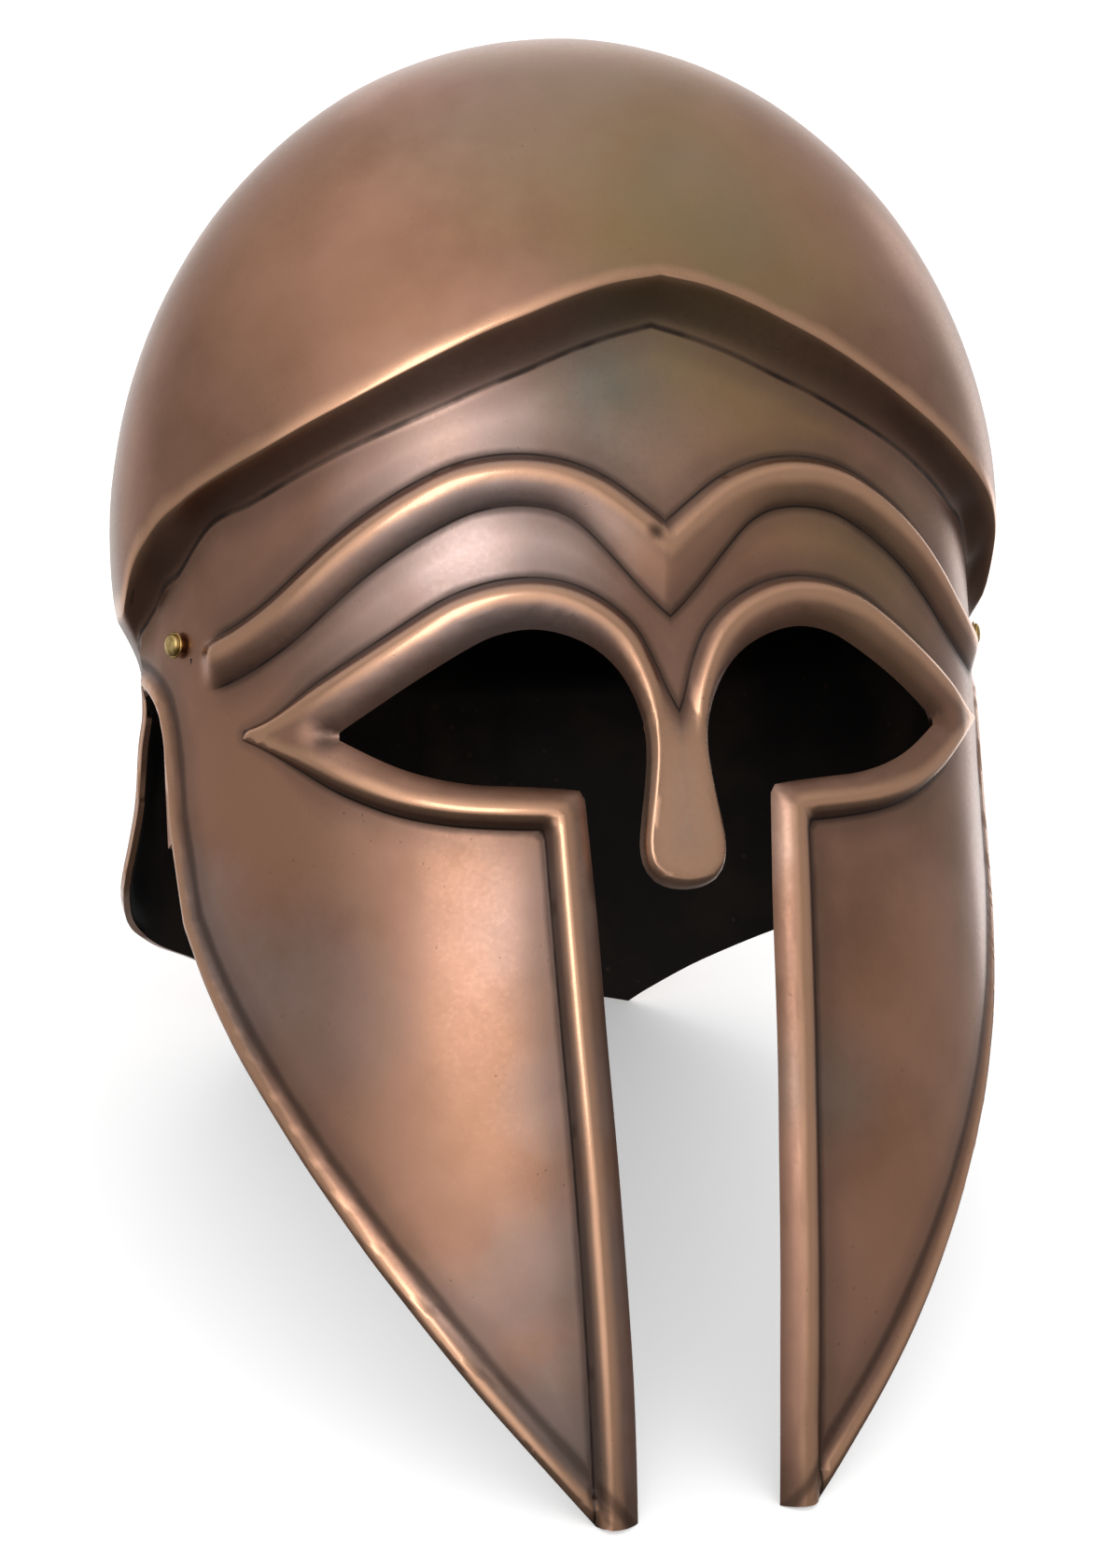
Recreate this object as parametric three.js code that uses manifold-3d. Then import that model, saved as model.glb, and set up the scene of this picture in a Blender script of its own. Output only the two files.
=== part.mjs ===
// Open-faced Greek style helmet of sheet metal: dome, face plate, long cheek pieces, nose guard and neck guard
// The part is drawn with the camera-side face towards -Y and then laid back on its cheek tips and neck guard
import * as THREE from 'three';
import { mergeVertices } from 'three/addons/utils/BufferGeometryUtils.js';
import Module from 'manifold-3d';

// Driving dimensions, in millimetres and degrees
const wall = 1.5;
const undercut = 0.4;
const rearSoftness = 0.45;
const faceHalfWidth = 104.3;
const faceHeight = 254;
const faceDepth = 72;
const sideLine = 102.3;
const domeOverhang = 6.1;
const domeRise = 119.8;
const domeLevel = 206.1;
const domeFront = 76.5;
const domeBack = 125;
const crownShift = 2.8;
const restTilt = 20.2;
const tipDrop = 0.6;
const eyeRimReach = 8.6;
const eyeRimFall = 3.4;
const eyeRimHeight = 3.4;
const browReach = 7.5;
const browFall = 3.6;
const browHeight = 2.9;
const edgeRimReach = 2.2;
const edgeRimFall = 3.8;
const edgeRimHeight = 1.5;
const noseHeight = 3.4;
const noseBevel = 1.3;
const rivetHeadDiameter = 5.6;
const rivetHeadHeight = 2.1;
const rivetShankDiameter = 3;
const rivetTailDiameter = 5;
const rivetTailHeight = 1.2;
const seatGap = 0.3;

// Tables hold shares of the sizes above: x of faceHalfWidth, z of faceHeight, y of sideLine
const eyeUpper = [
  [0.684, 0.6504], [0.6395, 0.665], [0.5858, 0.6811], [0.5331, 0.6972], [0.4803, 0.7126], [0.4238, 0.726],
  [0.3643, 0.7374], [0.2972, 0.7421], [0.2311, 0.7378], [0.1687, 0.726], [0.1208, 0.7079], [0.0882, 0.6843],
  [0.071, 0.6598], [0.0681, 0.6378], [0.0757, 0.6102], [0.0872, 0.5827], [0.094, 0.561], [0.0882, 0.5433],
  [0.0671, 0.5307], [0.0336, 0.5244], [0, 0.5228],
];
const eyeLower = [
  [0.6587, 0.6445], [0.6222, 0.637], [0.5849, 0.6295], [0.5475, 0.6236], [0.5072, 0.6189], [0.4669, 0.6157],
  [0.4267, 0.6134], [0.3854, 0.6126], [0.3442, 0.6118], [0.3039, 0.6106], [0.2627, 0.6098], [0.2052, 0.6071],
];
const slotEdge = [
  [0.2023, 0.58], [0.1975, 0.5413], [0.1918, 0.4937], [0.1879, 0.4453], [0.185, 0.3969], [0.1802, 0.3488],
  [0.1755, 0.3004], [0.1716, 0.252], [0.1668, 0.2035], [0.163, 0.1559], [0.1592, 0.1075], [0.1563, 0.0594],
  [0.1553, 0.0024],
];
const upperCrest = [
  [0.838, 0.648], [0.8054, 0.6563], [0.7708, 0.6618], [0.7037, 0.6827], [0.6357, 0.7035], [0.5666, 0.724],
  [0.4976, 0.7437], [0.4238, 0.7606], [0.3423, 0.7701], [0.257, 0.7705], [0.1764, 0.7587], [0.1083, 0.7362],
  [0.0642, 0.7047], [0.0479, 0.6768], [0.0479, 0.645],
];
const lowerCrest = [
  [0.838, 0.648], [0.8006, 0.6451], [0.7536, 0.6402], [0.7267, 0.6307], [0.6913, 0.622], [0.65, 0.6138],
  [0.6088, 0.6067], [0.5657, 0.6004], [0.5206, 0.5965], [0.4746, 0.5933], [0.4276, 0.5913], [0.3816, 0.5906],
  [0.3346, 0.5902], [0.2886, 0.5894], [0.2589, 0.5886], [0.18, 0.588],
];
const slotCrest = [
  [0.2579, 0.588], [0.2531, 0.5343], [0.2512, 0.489], [0.2474, 0.4433], [0.2435, 0.398], [0.2387, 0.3524],
  [0.2339, 0.3071], [0.2301, 0.261], [0.2263, 0.2154], [0.2234, 0.1701], [0.2196, 0.1244], [0.2157, 0.0791],
  [0.2138, 0.0335], [0.212, -0.02],
];
const browCrest = [
  [0.91, 0.7128], [0.8898, 0.7157], [0.837, 0.7303], [0.7709, 0.7547], [0.7095, 0.7819],
  [0.6462, 0.8079], [0.5762, 0.8311], [0.5005, 0.8512], [0.419, 0.8673], [0.3279, 0.8744], [0.2378, 0.872],
  [0.1524, 0.8598], [0.0767, 0.8386], [0.012, 0.816], [-0.035, 0.801],
];
const ridgeLine = [
  [0, 0.4875], [0.114, 0.4708], [0.214, 0.4432], [0.295, 0.414], [0.375, 0.384], [0.458, 0.3464], [0.539, 0.3055],
  [0.616, 0.2638], [0.69, 0.2229], [0.763, 0.1778], [0.834, 0.1327], [0.9, 0.081], [0.953, 0.0192],
  [0.987, -0.0676], [1, -0.136],
];
const creaseLine = [
  [0, 1], [0.0815, 0.9909], [0.1774, 0.9772], [0.2704, 0.9606], [0.3634, 0.9449], [0.4554, 0.9276],
  [0.5494, 0.9098], [0.6405, 0.8913], [0.7268, 0.8705], [0.8111, 0.8472], [0.8907, 0.8248], [0.9377, 0.7886],
  [0.9837, 0.7476], [0.995, 0.715], [1, 0.69],
];
const rearRidge = [[0, -0.136], [0.5, -0.17], [1, -0.18]];
const rearCrease = [[0, 0.69], [0.3, 0.672], [0.7, 0.64], [1, 0.625]];
const neckWidth = [
  [0.26, 1.0495], [0.433, 1.0495], [0.4685, 1.042], [0.496, 1.038], [0.5315, 1.022], [0.565, 1.0075],
  [0.626, 0.997], [0.6594, 0.9885], [0.685, 0.993], [0.7, 1.003], [0.74, 1.048], [0.82, 1.058],
];
const neckBack = [
  [0.22, 2.07], [0.3, 2.035], [0.335, 2.03], [0.394, 2.018], [0.4724, 2.008], [0.5512, 2.014], [0.62, 2.05],
  [0.67, 2.095], [0.728, 2.165], [0.768, 2.205], [0.811, 2.222],
];
const cheekEdge = [
  [0.178, -0.03], [0.2407, 0], [0.3202, 0.0394], [0.4008, 0.0787], [0.4784, 0.1189], [0.5532, 0.1602], [0.6261, 0.2016],
  [0.6961, 0.2445], [0.7622, 0.2878], [0.8226, 0.3327], [0.8782, 0.3787], [0.9223, 0.4268], [0.955, 0.4764],
];
const notchFront = [
  [0.785, 0.527], [0.795, 0.56], [0.815, 0.6], [0.842, 0.638], [0.872, 0.662], [0.907, 0.676], [0.945, 0.679],
];
const notchRear = [
  [0.985, 0.663], [1.012, 0.632], [1.035, 0.59], [1.053, 0.548], [1.068, 0.518], [1.086, 0.495], [1.106, 0.4855],
];
const guardEdge = [
  [1.16, 0.472], [1.29, 0.4431], [1.47, 0.41], [1.66, 0.378], [1.81, 0.338], [1.905, 0.299], [1.955, 0.272],
  [2.01, 0.25], [2.3, 0.25],
];
const noseOutline = [
  [0.022, 0.676], [0.05, 0.664], [0.06, 0.651], [0.066, 0.63], [0.0745, 0.6102], [0.086, 0.5827],
  [0.092, 0.561], [0.086, 0.544], [0.065, 0.5325], [0.0336, 0.526], [0, 0.5242],
];
const columnShares = [
  0, 0.09, 0.18, 0.27, 0.36, 0.45, 0.54, 0.63, 0.71, 0.785, 0.85, 0.9, 0.94, 0.967, 0.985, 0.995, 1,
];
const rearShares = [0.985, 0.95, 0.895, 0.82, 0.725, 0.61, 0.475, 0.325, 0.165, 0];
const domeRows = 10;
const bandRows = 4;
const lowerRows = 9;
const cutNear = 0.55;
const cutFar = 1.3;
const guardRimEnd = [1.11, 0.44];
const rivetPlace = [0.947, 0.7228];
const mitreLap = 0.02;

const domeHalfWidth = faceHalfWidth + domeOverhang;
const wasm = await Module();
wasm.setup();

// Straight reading between the points of a table
function readTable(table, at) {
  if (at <= table[0][0]) {
    return table[0][1];
  }
  for (let i = 1; i < table.length; i += 1) {
    if (at <= table[i][0]) {
      const share = (at - table[i - 1][0]) / (table[i][0] - table[i - 1][0]);
      return table[i - 1][1] + share * (table[i][1] - table[i - 1][1]);
    }
  }
  return table[table.length - 1][1];
}

// Smooth reading between the points of a table
function readSmooth(table, at) {
  const last = table.length - 1;
  if (at <= table[0][0]) {
    return table[0][1];
  }
  if (at >= table[last][0]) {
    return table[last][1];
  }
  const slope = (i) => {
    const a = Math.max(0, i - 1);
    const b = Math.min(last, i + 1);
    return (table[b][1] - table[a][1]) / (table[b][0] - table[a][0]);
  };
  let i = 1;
  while (at > table[i][0]) {
    i += 1;
  }
  const span = table[i][0] - table[i - 1][0];
  const t = (at - table[i - 1][0]) / span;
  const h = 1 - t;
  return table[i - 1][1] * h * h * (1 + 2 * t) + table[i][1] * t * t * (3 - 2 * t)
    + slope(i - 1) * span * t * h * h - slope(i) * span * t * t * h;
}

// Front line of the face on the middle plane, which leans back as it rises
function faceFront(z) {
  const q = z / faceHeight;
  const brow = Math.max(0, (q - 0.768) / 0.236);
  return faceDepth * (0.0188 + 0.067 * q + 1.112 * q * q - 0.6874 * q * q * q + 0.0833 * brow * brow);
}

// Face plate and cheeks: blunt in plan, turning to the side line at full width
function faceShape(share, z) {
  const bulge = Math.pow(1 - Math.pow(Math.min(1, share), 2.6), 1 / 1.4);
  return new THREE.Vector3(faceHalfWidth * share, faceFront(z) + faceDepth * (1 - bulge), z);
}

function neckShape(share, z) {
  const reach = sideLine * readSmooth(neckBack, z / faceHeight) - sideLine;
  const x = faceHalfWidth * readSmooth(neckWidth, z / faceHeight) * share;
  return new THREE.Vector3(x, sideLine + reach * Math.sqrt(Math.max(0, 1 - share * share)), z);
}

function domeShape(share, z, rear) {
  const high = Math.min(0.99999, Math.max(-0.5, (z - domeLevel) / domeRise));
  const girth = Math.sqrt(1 - high * high);
  const power = rear ? 2 : 1.87;
  const depth = rear ? domeBack : -domeFront;
  const bow = Math.pow(Math.max(0, 1 - Math.pow(share, power)), 1 / power);
  const middle = sideLine + crownShift * Math.pow(Math.max(0, high), 2);
  return new THREE.Vector3(domeHalfWidth * girth * share, middle + depth * girth * bow, z);
}

// Points of one column of the outer skin, from the crown's edge down past the rest plane
function skinColumn(share, rear, floorZ) {
  const points = [];
  const along = Math.sqrt(Math.max(0, 1 - share * share));
  const ridgeZ = domeLevel + domeRise * (rear ? readTable(rearRidge, along) : readTable(ridgeLine, share));
  const creaseZ = faceHeight * (rear ? readTable(rearCrease, along) : readTable(creaseLine, share));
  const ridgeAngle = Math.asin((ridgeZ - domeLevel) / domeRise);
  for (let i = 1; i <= domeRows; i += 1) {
    const angle = Math.PI / 2 + (ridgeAngle - Math.PI / 2) * (i / domeRows);
    points.push(domeShape(share, domeLevel + domeRise * Math.sin(angle), rear));
  }
  const lower = (z) => (rear || share === 1 ? neckShape(share, z) : faceShape(share, z));
  const ridge = points[points.length - 1];
  const crease = lower(creaseZ);
  const drop = ridge.z - crease.z;
  const leave = ridge.clone();
  leave.z -= rear ? rearSoftness * along * drop : 0;
  const arrive = crease.clone();
  arrive.z += undercut * drop;
  const path = new THREE.CubicBezierCurve3(ridge, leave, arrive, crease);
  for (let i = 1; i <= bandRows; i += 1) {
    points.push(path.getPoint(i / bandRows));
  }
  for (let i = 1; i <= lowerRows; i += 1) {
    points.push(lower(creaseZ + (floorZ - creaseZ) * (i / lowerRows)));
  }
  return points;
}

function solidFrom(merged, index) {
  const mesh = new wasm.Mesh({
    numProp: 3,
    vertProperties: new Float32Array(merged.attributes.position.array),
    triVerts: new Uint32Array(index),
  });
  return new wasm.Manifold(mesh);
}

// A closed solid with its faces outwards, whichever way round its triangles were listed
function solidOf(positions, index) {
  const geometry = new THREE.BufferGeometry();
  geometry.setAttribute('position', new THREE.Float32BufferAttribute(positions, 3));
  geometry.setIndex(index);
  const merged = mergeVertices(geometry, 1e-4);
  const order = Array.from(merged.index.array);
  const solid = solidFrom(merged, order);
  return solid.volume() < 0 ? solidFrom(merged, order.reverse()) : solid;
}

function solidOfGeometry(source) {
  const geometry = source.index ? source.clone() : mergeVertices(source);
  geometry.deleteAttribute('normal');
  geometry.deleteAttribute('uv');
  const merged = mergeVertices(geometry, 1e-4);
  return solidOf(Array.from(merged.attributes.position.array), Array.from(merged.index.array));
}

function flatten(points) {
  return points.flatMap((p) => [p.x, p.y, p.z]);
}

// Outer and inner skin as one closed wall, open below
function helmetWall(floorZ) {
  const columns = [];
  columnShares.forEach((share) => columns.push(skinColumn(share, false, floorZ)));
  rearShares.forEach((share) => columns.push(skinColumn(share, true, floorZ)));
  const half = columns.length;
  for (let i = half - 2; i > 0; i -= 1) {
    columns.push(columns[i].map((p) => new THREE.Vector3(-p.x, p.y, p.z)));
  }
  const count = columns.length;
  const rows = columns[0].length;
  const crown = new THREE.Vector3(0, sideLine + crownShift, domeLevel + domeRise);
  const skin = (i, j) => (j < 0 ? crown : columns[(i + count) % count][Math.min(rows - 1, j)]);
  const inner = columns.map((column, i) => column.map((point, j) => {
    const down = skin(i, j + 1).clone().sub(skin(i, j - 1));
    const across = skin(i + 1, j).clone().sub(skin(i - 1, j));
    return point.clone().addScaledVector(across.cross(down).normalize(), wall);
  }));
  const outerPoints = [crown, ...columns.flat()];
  const innerPoints = [new THREE.Vector3(0, crown.y, crown.z - wall), ...inner.flat()];
  const base = outerPoints.length;
  const at = (i, j) => 1 + (i % count) * rows + j;
  const index = [];
  for (let i = 0; i < count; i += 1) {
    index.push(0, at(i, 0), at(i + 1, 0));
    index.push(base, base + at(i + 1, 0), base + at(i, 0));
    for (let j = 0; j < rows - 1; j += 1) {
      const [a, b, c, d] = [at(i, j), at(i, j + 1), at(i + 1, j + 1), at(i + 1, j)];
      index.push(a, b, c, a, c, d);
      index.push(base + a, base + c, base + b, base + a, base + d, base + c);
    }
    const [a, b] = [at(i, rows - 1), at(i + 1, rows - 1)];
    index.push(a, base + a, base + b, a, base + b, b);
  }
  return solidOf(flatten([...outerPoints, ...innerPoints]), index);
}

// A point on the face and its outward direction, from shares of width and height
function onFace(x, z) {
  const share = Math.abs(x) / faceHalfWidth;
  const step = 0.002;
  const low = Math.min(share, 0.996 - step);
  const point = faceShape(share, z);
  const across = faceShape(low + step, z).sub(faceShape(Math.max(0, low - step), z));
  const up = faceShape(share, z + 0.5).sub(faceShape(share, z - 0.5));
  const out = across.cross(up).normalize();
  if (x < 0) {
    point.x *= -1;
    out.x *= -1;
  }
  return { point, out };
}

// The same for the cheek's rear edge, from its distance back
function onFaceSide(y, z) {
  const rise = Math.min(0.995, (y - faceFront(z)) / faceDepth);
  const share = Math.pow(1 - Math.pow(1 - rise, 1.4), 1 / 2.6);
  return onFace(share * faceHalfWidth, z);
}

function onNeck(y, z) {
  const reach = sideLine * readSmooth(neckBack, z / faceHeight) - sideLine;
  const depth = Math.min(1, Math.max(0, (y - sideLine) / reach));
  const share = Math.sqrt(1 - depth * depth);
  const point = neckShape(share, z);
  const girth = point.x / Math.max(0.01, share);
  const out = new THREE.Vector3(share / girth, depth / reach, 0).normalize();
  return { point, out };
}

const faceAt = ([x, z]) => onFace(x * faceHalfWidth, z * faceHeight);
const sideAt = ([y, z]) => onFaceSide(y * sideLine, z * faceHeight);
const neckAt = ([y, z]) => onNeck(y * sideLine, z * faceHeight);

// A raised moulding whose crest follows the places; reach is the gentle side, fall the steep one
function moulding(places, profile, steepSide, heights, widths) {
  const points = [];
  const size = profile.length;
  places.forEach(({ point, out }, i) => {
    const before = places[Math.max(0, i - 1)].point;
    const after = places[Math.min(places.length - 1, i + 1)].point;
    const run = after.clone().sub(before).normalize();
    const side = run.clone().cross(out).normalize().multiplyScalar(steepSide);
    const up = side.clone().cross(run).normalize().multiplyScalar(steepSide);
    profile.forEach(([b, n]) => {
      const lift = n > 0 ? n * heights(i) : n;
      points.push(point.clone().addScaledVector(side, b * widths(i)).addScaledVector(up, lift));
    });
  });
  const index = [];
  for (let i = 0; i < places.length - 1; i += 1) {
    for (let k = 0; k < size; k += 1) {
      const [a, b] = [i * size + k, i * size + (k + 1) % size];
      index.push(a, b, b + size, a, b + size, a + size);
    }
  }
  const end = (places.length - 1) * size;
  for (let k = 1; k < size - 1; k += 1) {
    index.push(0, k + 1, k, end, end + k, end + k + 1);
  }
  return solidOf(flatten(points), index);
}

// Section of a moulding: gentle side below zero, steep side above
function mouldingSection(reach, fall, height) {
  const root = -wall * 0.5;
  return [
    [-reach, root], [fall, root], [fall, 0.04 * height], [0.45 * fall, 0.72 * height], [0.1 * fall, 0.98 * height],
    [-0.12 * reach, 0.97 * height], [-0.55 * reach, 0.6 * height], [-reach, 0.12 * height],
  ];
}

const full = () => 1;
const eyeSection = mouldingSection(eyeRimReach, eyeRimFall, eyeRimHeight);
const browSection = mouldingSection(browReach, browFall, browHeight);
const edgeSection = mouldingSection(edgeRimReach, edgeRimFall, edgeRimHeight);

function mirrored(solid) {
  const mesh = solid.getMesh();
  const positions = Array.from(mesh.vertProperties);
  for (let i = 0; i < positions.length; i += mesh.numProp) {
    positions[i] *= -1;
  }
  return solidOf(positions, Array.from(mesh.triVerts));
}

// Cutter whose sides run to the helmet's upright axis, through its outline on the outer skin
function towardsAxis(p, s) {
  return new THREE.Vector3(p.x * s, sideLine + (p.y - sideLine) * s, p.z);
}

function radialCutter(outline, near, far) {
  const flat = outline.map((p) => new THREE.Vector2(p.x, p.z));
  const faces = THREE.ShapeUtils.triangulateShape(flat, []);
  const count = outline.length;
  const points = [far, 1, near].flatMap((s) => outline.map((p) => towardsAxis(p, s)));
  const index = [];
  faces.forEach(([a, b, c]) => {
    index.push(a, b, c, a + 2 * count, c + 2 * count, b + 2 * count);
  });
  for (let i = 0; i < count; i += 1) {
    const j = (i + 1) % count;
    [0, count].forEach((k) => {
      index.push(i + k, i + count + k, j + count + k, i + k, j + count + k, j + k);
    });
  }
  return solidOf(flatten(points), index);
}

// Eyes, nose guard's outline and the slot between the cheeks, as one opening
function faceOpening() {
  const right = [
    ...[...slotEdge].reverse(), ...[...eyeLower].reverse(), ...eyeUpper,
  ].map((place) => faceAt(place).point);
  right.unshift(new THREE.Vector3(right[0].x, right[0].y - 2, -0.12 * faceHeight));
  const left = right.slice(0, -1).reverse().map((p) => new THREE.Vector3(-p.x, p.y, p.z));
  return radialCutter([...right, ...left], cutNear, cutFar);
}

// Ring that takes away all below the cheeks' lower edges, the notches and the neck guard's edge
function lowerCutter() {
  const edge = [
    ...cheekEdge.map((place) => faceAt(place).point), ...notchFront.map((place) => sideAt(place).point),
    ...notchRear.map((place) => neckAt(place).point), ...guardEdge.map((place) => neckAt(place).point),
  ];
  const first = edge[0].clone();
  first.x *= 0.4;
  edge.unshift(first);
  const lastPoint = edge[edge.length - 1];
  lastPoint.x = 0;
  const ring = [...edge, ...edge.slice(0, -1).reverse().map((p) => new THREE.Vector3(-p.x, p.y, p.z))];
  const floorZ = -0.16 * faceHeight;
  const points = [];
  ring.forEach((p) => {
    const spots = [cutNear, 1, cutFar].map((s) => towardsAxis(p, s));
    points.push(...spots, spots[2].clone().setZ(floorZ), spots[0].clone().setZ(floorZ));
  });
  const index = [];
  const count = ring.length;
  for (let i = 0; i < count; i += 1) {
    for (let k = 0; k < 5; k += 1) {
      const [a, b] = [i * 5 + k, i * 5 + (k + 1) % 5];
      const [c, d] = [((i + 1) % count) * 5 + (k + 1) % 5, ((i + 1) % count) * 5 + k];
      index.push(a, b, c, a, c, d);
    }
  }
  return solidOf(flatten(points), index);
}

// Half space under the plane on which the helmet rests
function underRest() {
  const size = 3 * faceHeight;
  const box = new THREE.BoxGeometry(size, size, size);
  box.translate(0, 0, -size / 2);
  box.rotateX(THREE.MathUtils.degToRad(restTilt));
  box.translate(0, 0, -tipDrop);
  return solidOfGeometry(box);
}

// All that lies left of the middle plane, but for a sliver that lets the halves join
function leftHalf() {
  const size = 4 * faceHeight;
  return solidOfGeometry(new THREE.BoxGeometry(size, size, size).translate(-size / 2 - mitreLap, 0, 0));
}

// Raised face of the nose guard
function nosePlate() {
  const half = noseOutline.map(([x, z]) => new THREE.Vector2(x * faceHalfWidth, z * faceHeight));
  const outline = [...half, ...half.slice(0, -1).reverse().map((p) => new THREE.Vector2(-p.x, p.y))];
  const low = half[half.length - 1].y;
  const high = half[0].y;
  const lean = Math.atan2(faceFront(high) - faceFront(low), high - low);
  const shape = new THREE.Shape(outline.map((p) => new THREE.Vector2(p.x, (p.y - low) / Math.cos(lean))));
  const plate = new THREE.ExtrudeGeometry(shape, {
    depth: noseHeight - noseBevel + wall * 0.5,
    bevelEnabled: true,
    bevelThickness: noseBevel,
    bevelSize: noseBevel,
    bevelOffset: -noseBevel,
    bevelSegments: 2,
  });
  plate.translate(0, 0, -wall * 0.5);
  plate.rotateX(Math.PI / 2 - lean);
  plate.translate(0, faceFront(low), low);
  return solidOfGeometry(plate);
}

function rivetAt() {
  return faceAt(rivetPlace);
}

function alongAxis(geometry, place) {
  const turn = new THREE.Quaternion().setFromUnitVectors(new THREE.Vector3(0, 1, 0), place.out);
  geometry.applyQuaternion(turn);
  geometry.translate(place.point.x, place.point.y, place.point.z);
  return geometry;
}

// Domed head outside, shank through the wall and a clenched tail inside
function rivetGeometry() {
  const head = rivetHeadDiameter / 2;
  const shank = rivetShankDiameter / 2;
  const tail = rivetTailDiameter / 2;
  const seat = seatGap;
  const under = -wall - 2 * seatGap;
  const profile = [
    [0, under - rivetTailHeight], [0.7 * tail, under - rivetTailHeight], [tail, under - 0.45 * rivetTailHeight],
    [tail, under], [shank, under], [shank, seat], [head, seat], [head, seat + 0.3 * rivetHeadHeight],
    [0.9 * head, seat + 0.62 * rivetHeadHeight], [0.66 * head, seat + 0.86 * rivetHeadHeight],
    [0.35 * head, seat + 0.97 * rivetHeadHeight], [0, seat + rivetHeadHeight],
  ].map(([r, h]) => new THREE.Vector2(r, h));
  return alongAxis(new THREE.LatheGeometry(profile, 14), rivetAt());
}

function rivetHole() {
  const radius = rivetShankDiameter / 2 + seatGap;
  return solidOfGeometry(alongAxis(new THREE.CylinderGeometry(radius, radius, 8 * wall, 14), rivetAt()));
}

// All mouldings of the right half
function rightMouldings() {
  const browFade = (i) => Math.min(1, 0.15 + 0.3 * i);
  const tipFade = (i) => Math.min(1, 0.25 + 0.25 * i);
  const edgePlaces = [
    ...cheekEdge.map(faceAt), ...notchFront.map(sideAt), ...notchRear.map(neckAt), neckAt(guardRimEnd),
  ];
  const inset = edgePlaces.map(({ point, out }, i) => {
    const before = edgePlaces[Math.max(0, i - 1)].point;
    const after = edgePlaces[Math.min(edgePlaces.length - 1, i + 1)].point;
    const side = out.clone().cross(after.clone().sub(before)).normalize();
    return { point: point.clone().addScaledVector(side, edgeRimReach * 0.8), out };
  });
  return [
    moulding(upperCrest.map(faceAt), eyeSection, 1, tipFade, tipFade),
    moulding(lowerCrest.map(faceAt), eyeSection, -1, tipFade, tipFade),
    moulding(slotCrest.map(faceAt), eyeSection, -1, full, full),
    moulding(browCrest.map(faceAt), browSection, 1, browFade, browFade).subtract(leftHalf()),
    moulding(inset, edgeSection, -1, full, full),
  ];
}

function toGeometry(solid) {
  const mesh = solid.getMesh();
  const geometry = new THREE.BufferGeometry();
  geometry.setAttribute('position', new THREE.Float32BufferAttribute(mesh.vertProperties, 3));
  geometry.setIndex(Array.from(mesh.triVerts));
  geometry.computeVertexNormals();
  return geometry;
}

let shell = helmetWall(-0.12 * faceHeight);
rightMouldings().forEach((piece) => {
  shell = shell.add(piece).add(mirrored(piece));
});
shell = shell.add(nosePlate());
shell = shell.subtract(faceOpening()).subtract(lowerCutter()).subtract(underRest());
shell = shell.subtract(rivetHole()).subtract(mirrored(rivetHole()));

const bronze = new THREE.MeshStandardMaterial({ name: 'aged_bronze', color: 0x7a5238, roughness: 0.38, metalness: 1 });
const brass = new THREE.MeshStandardMaterial({ name: 'brass', color: 0xa8863f, roughness: 0.35, metalness: 1 });

const helmet = new THREE.Group();
const shellMesh = new THREE.Mesh(toGeometry(shell), bronze);
shellMesh.name = 'helmet_shell';
helmet.add(shellMesh);

const rivet = mergeVertices(rivetGeometry().deleteAttribute('normal').deleteAttribute('uv'), 1e-4);
const rivetSolid = solidOfGeometry(rivet);
const rivetRight = new THREE.Mesh(toGeometry(rivetSolid), brass);
rivetRight.name = 'rivet_right';
helmet.add(rivetRight);
const rivetLeft = new THREE.Mesh(toGeometry(mirrored(rivetSolid)), brass);
rivetLeft.name = 'rivet_left';
helmet.add(rivetLeft);

// Lay the helmet back so that the cheek tips and the neck guard stand on z = 0, centred over the origin
helmet.rotation.x = -THREE.MathUtils.degToRad(restTilt);
helmet.updateMatrixWorld(true);
const standing = new THREE.Box3().setFromObject(helmet, true);
helmet.position.y = -(standing.min.y + standing.max.y) / 2;
helmet.position.z = -standing.min.z;

const model = new THREE.Group();
model.add(helmet);
export default model;
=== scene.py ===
# %% [markdown]
# A sheet-metal helmet of the Corinthian kind, in aged copper-bronze. The frame gives its solids, already
# standing on the floor at their real size. They are faceted, so this lesson remakes the sheet with a smooth
# skin, soft ridges and a worn finish.

# %% Load the frame
import math

import bpy
import numpy as np
from mathutils import Matrix, Vector, noise


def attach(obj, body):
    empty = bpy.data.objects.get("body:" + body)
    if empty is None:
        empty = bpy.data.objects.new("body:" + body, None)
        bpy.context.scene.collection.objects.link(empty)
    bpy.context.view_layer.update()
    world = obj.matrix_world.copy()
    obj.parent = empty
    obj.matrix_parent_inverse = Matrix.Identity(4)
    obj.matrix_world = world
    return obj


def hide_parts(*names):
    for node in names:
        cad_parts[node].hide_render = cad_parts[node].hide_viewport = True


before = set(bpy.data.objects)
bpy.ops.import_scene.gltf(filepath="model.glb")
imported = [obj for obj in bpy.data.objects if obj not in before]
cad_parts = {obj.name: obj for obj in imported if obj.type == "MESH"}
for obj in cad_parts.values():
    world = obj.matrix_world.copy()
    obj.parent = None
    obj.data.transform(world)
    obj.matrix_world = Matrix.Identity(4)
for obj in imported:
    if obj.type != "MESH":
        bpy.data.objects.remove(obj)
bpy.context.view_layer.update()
bpy.ops.object.select_all(action="DESELECT")

# %% [markdown]
# The helmet is drawn upright, as it is worn, in millimetres: x to the wearer's left, y to the back, z up. Its
# own sizes come first. At the end it leans back, so that it rests on both cheek tips and on the neck guard.

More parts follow.
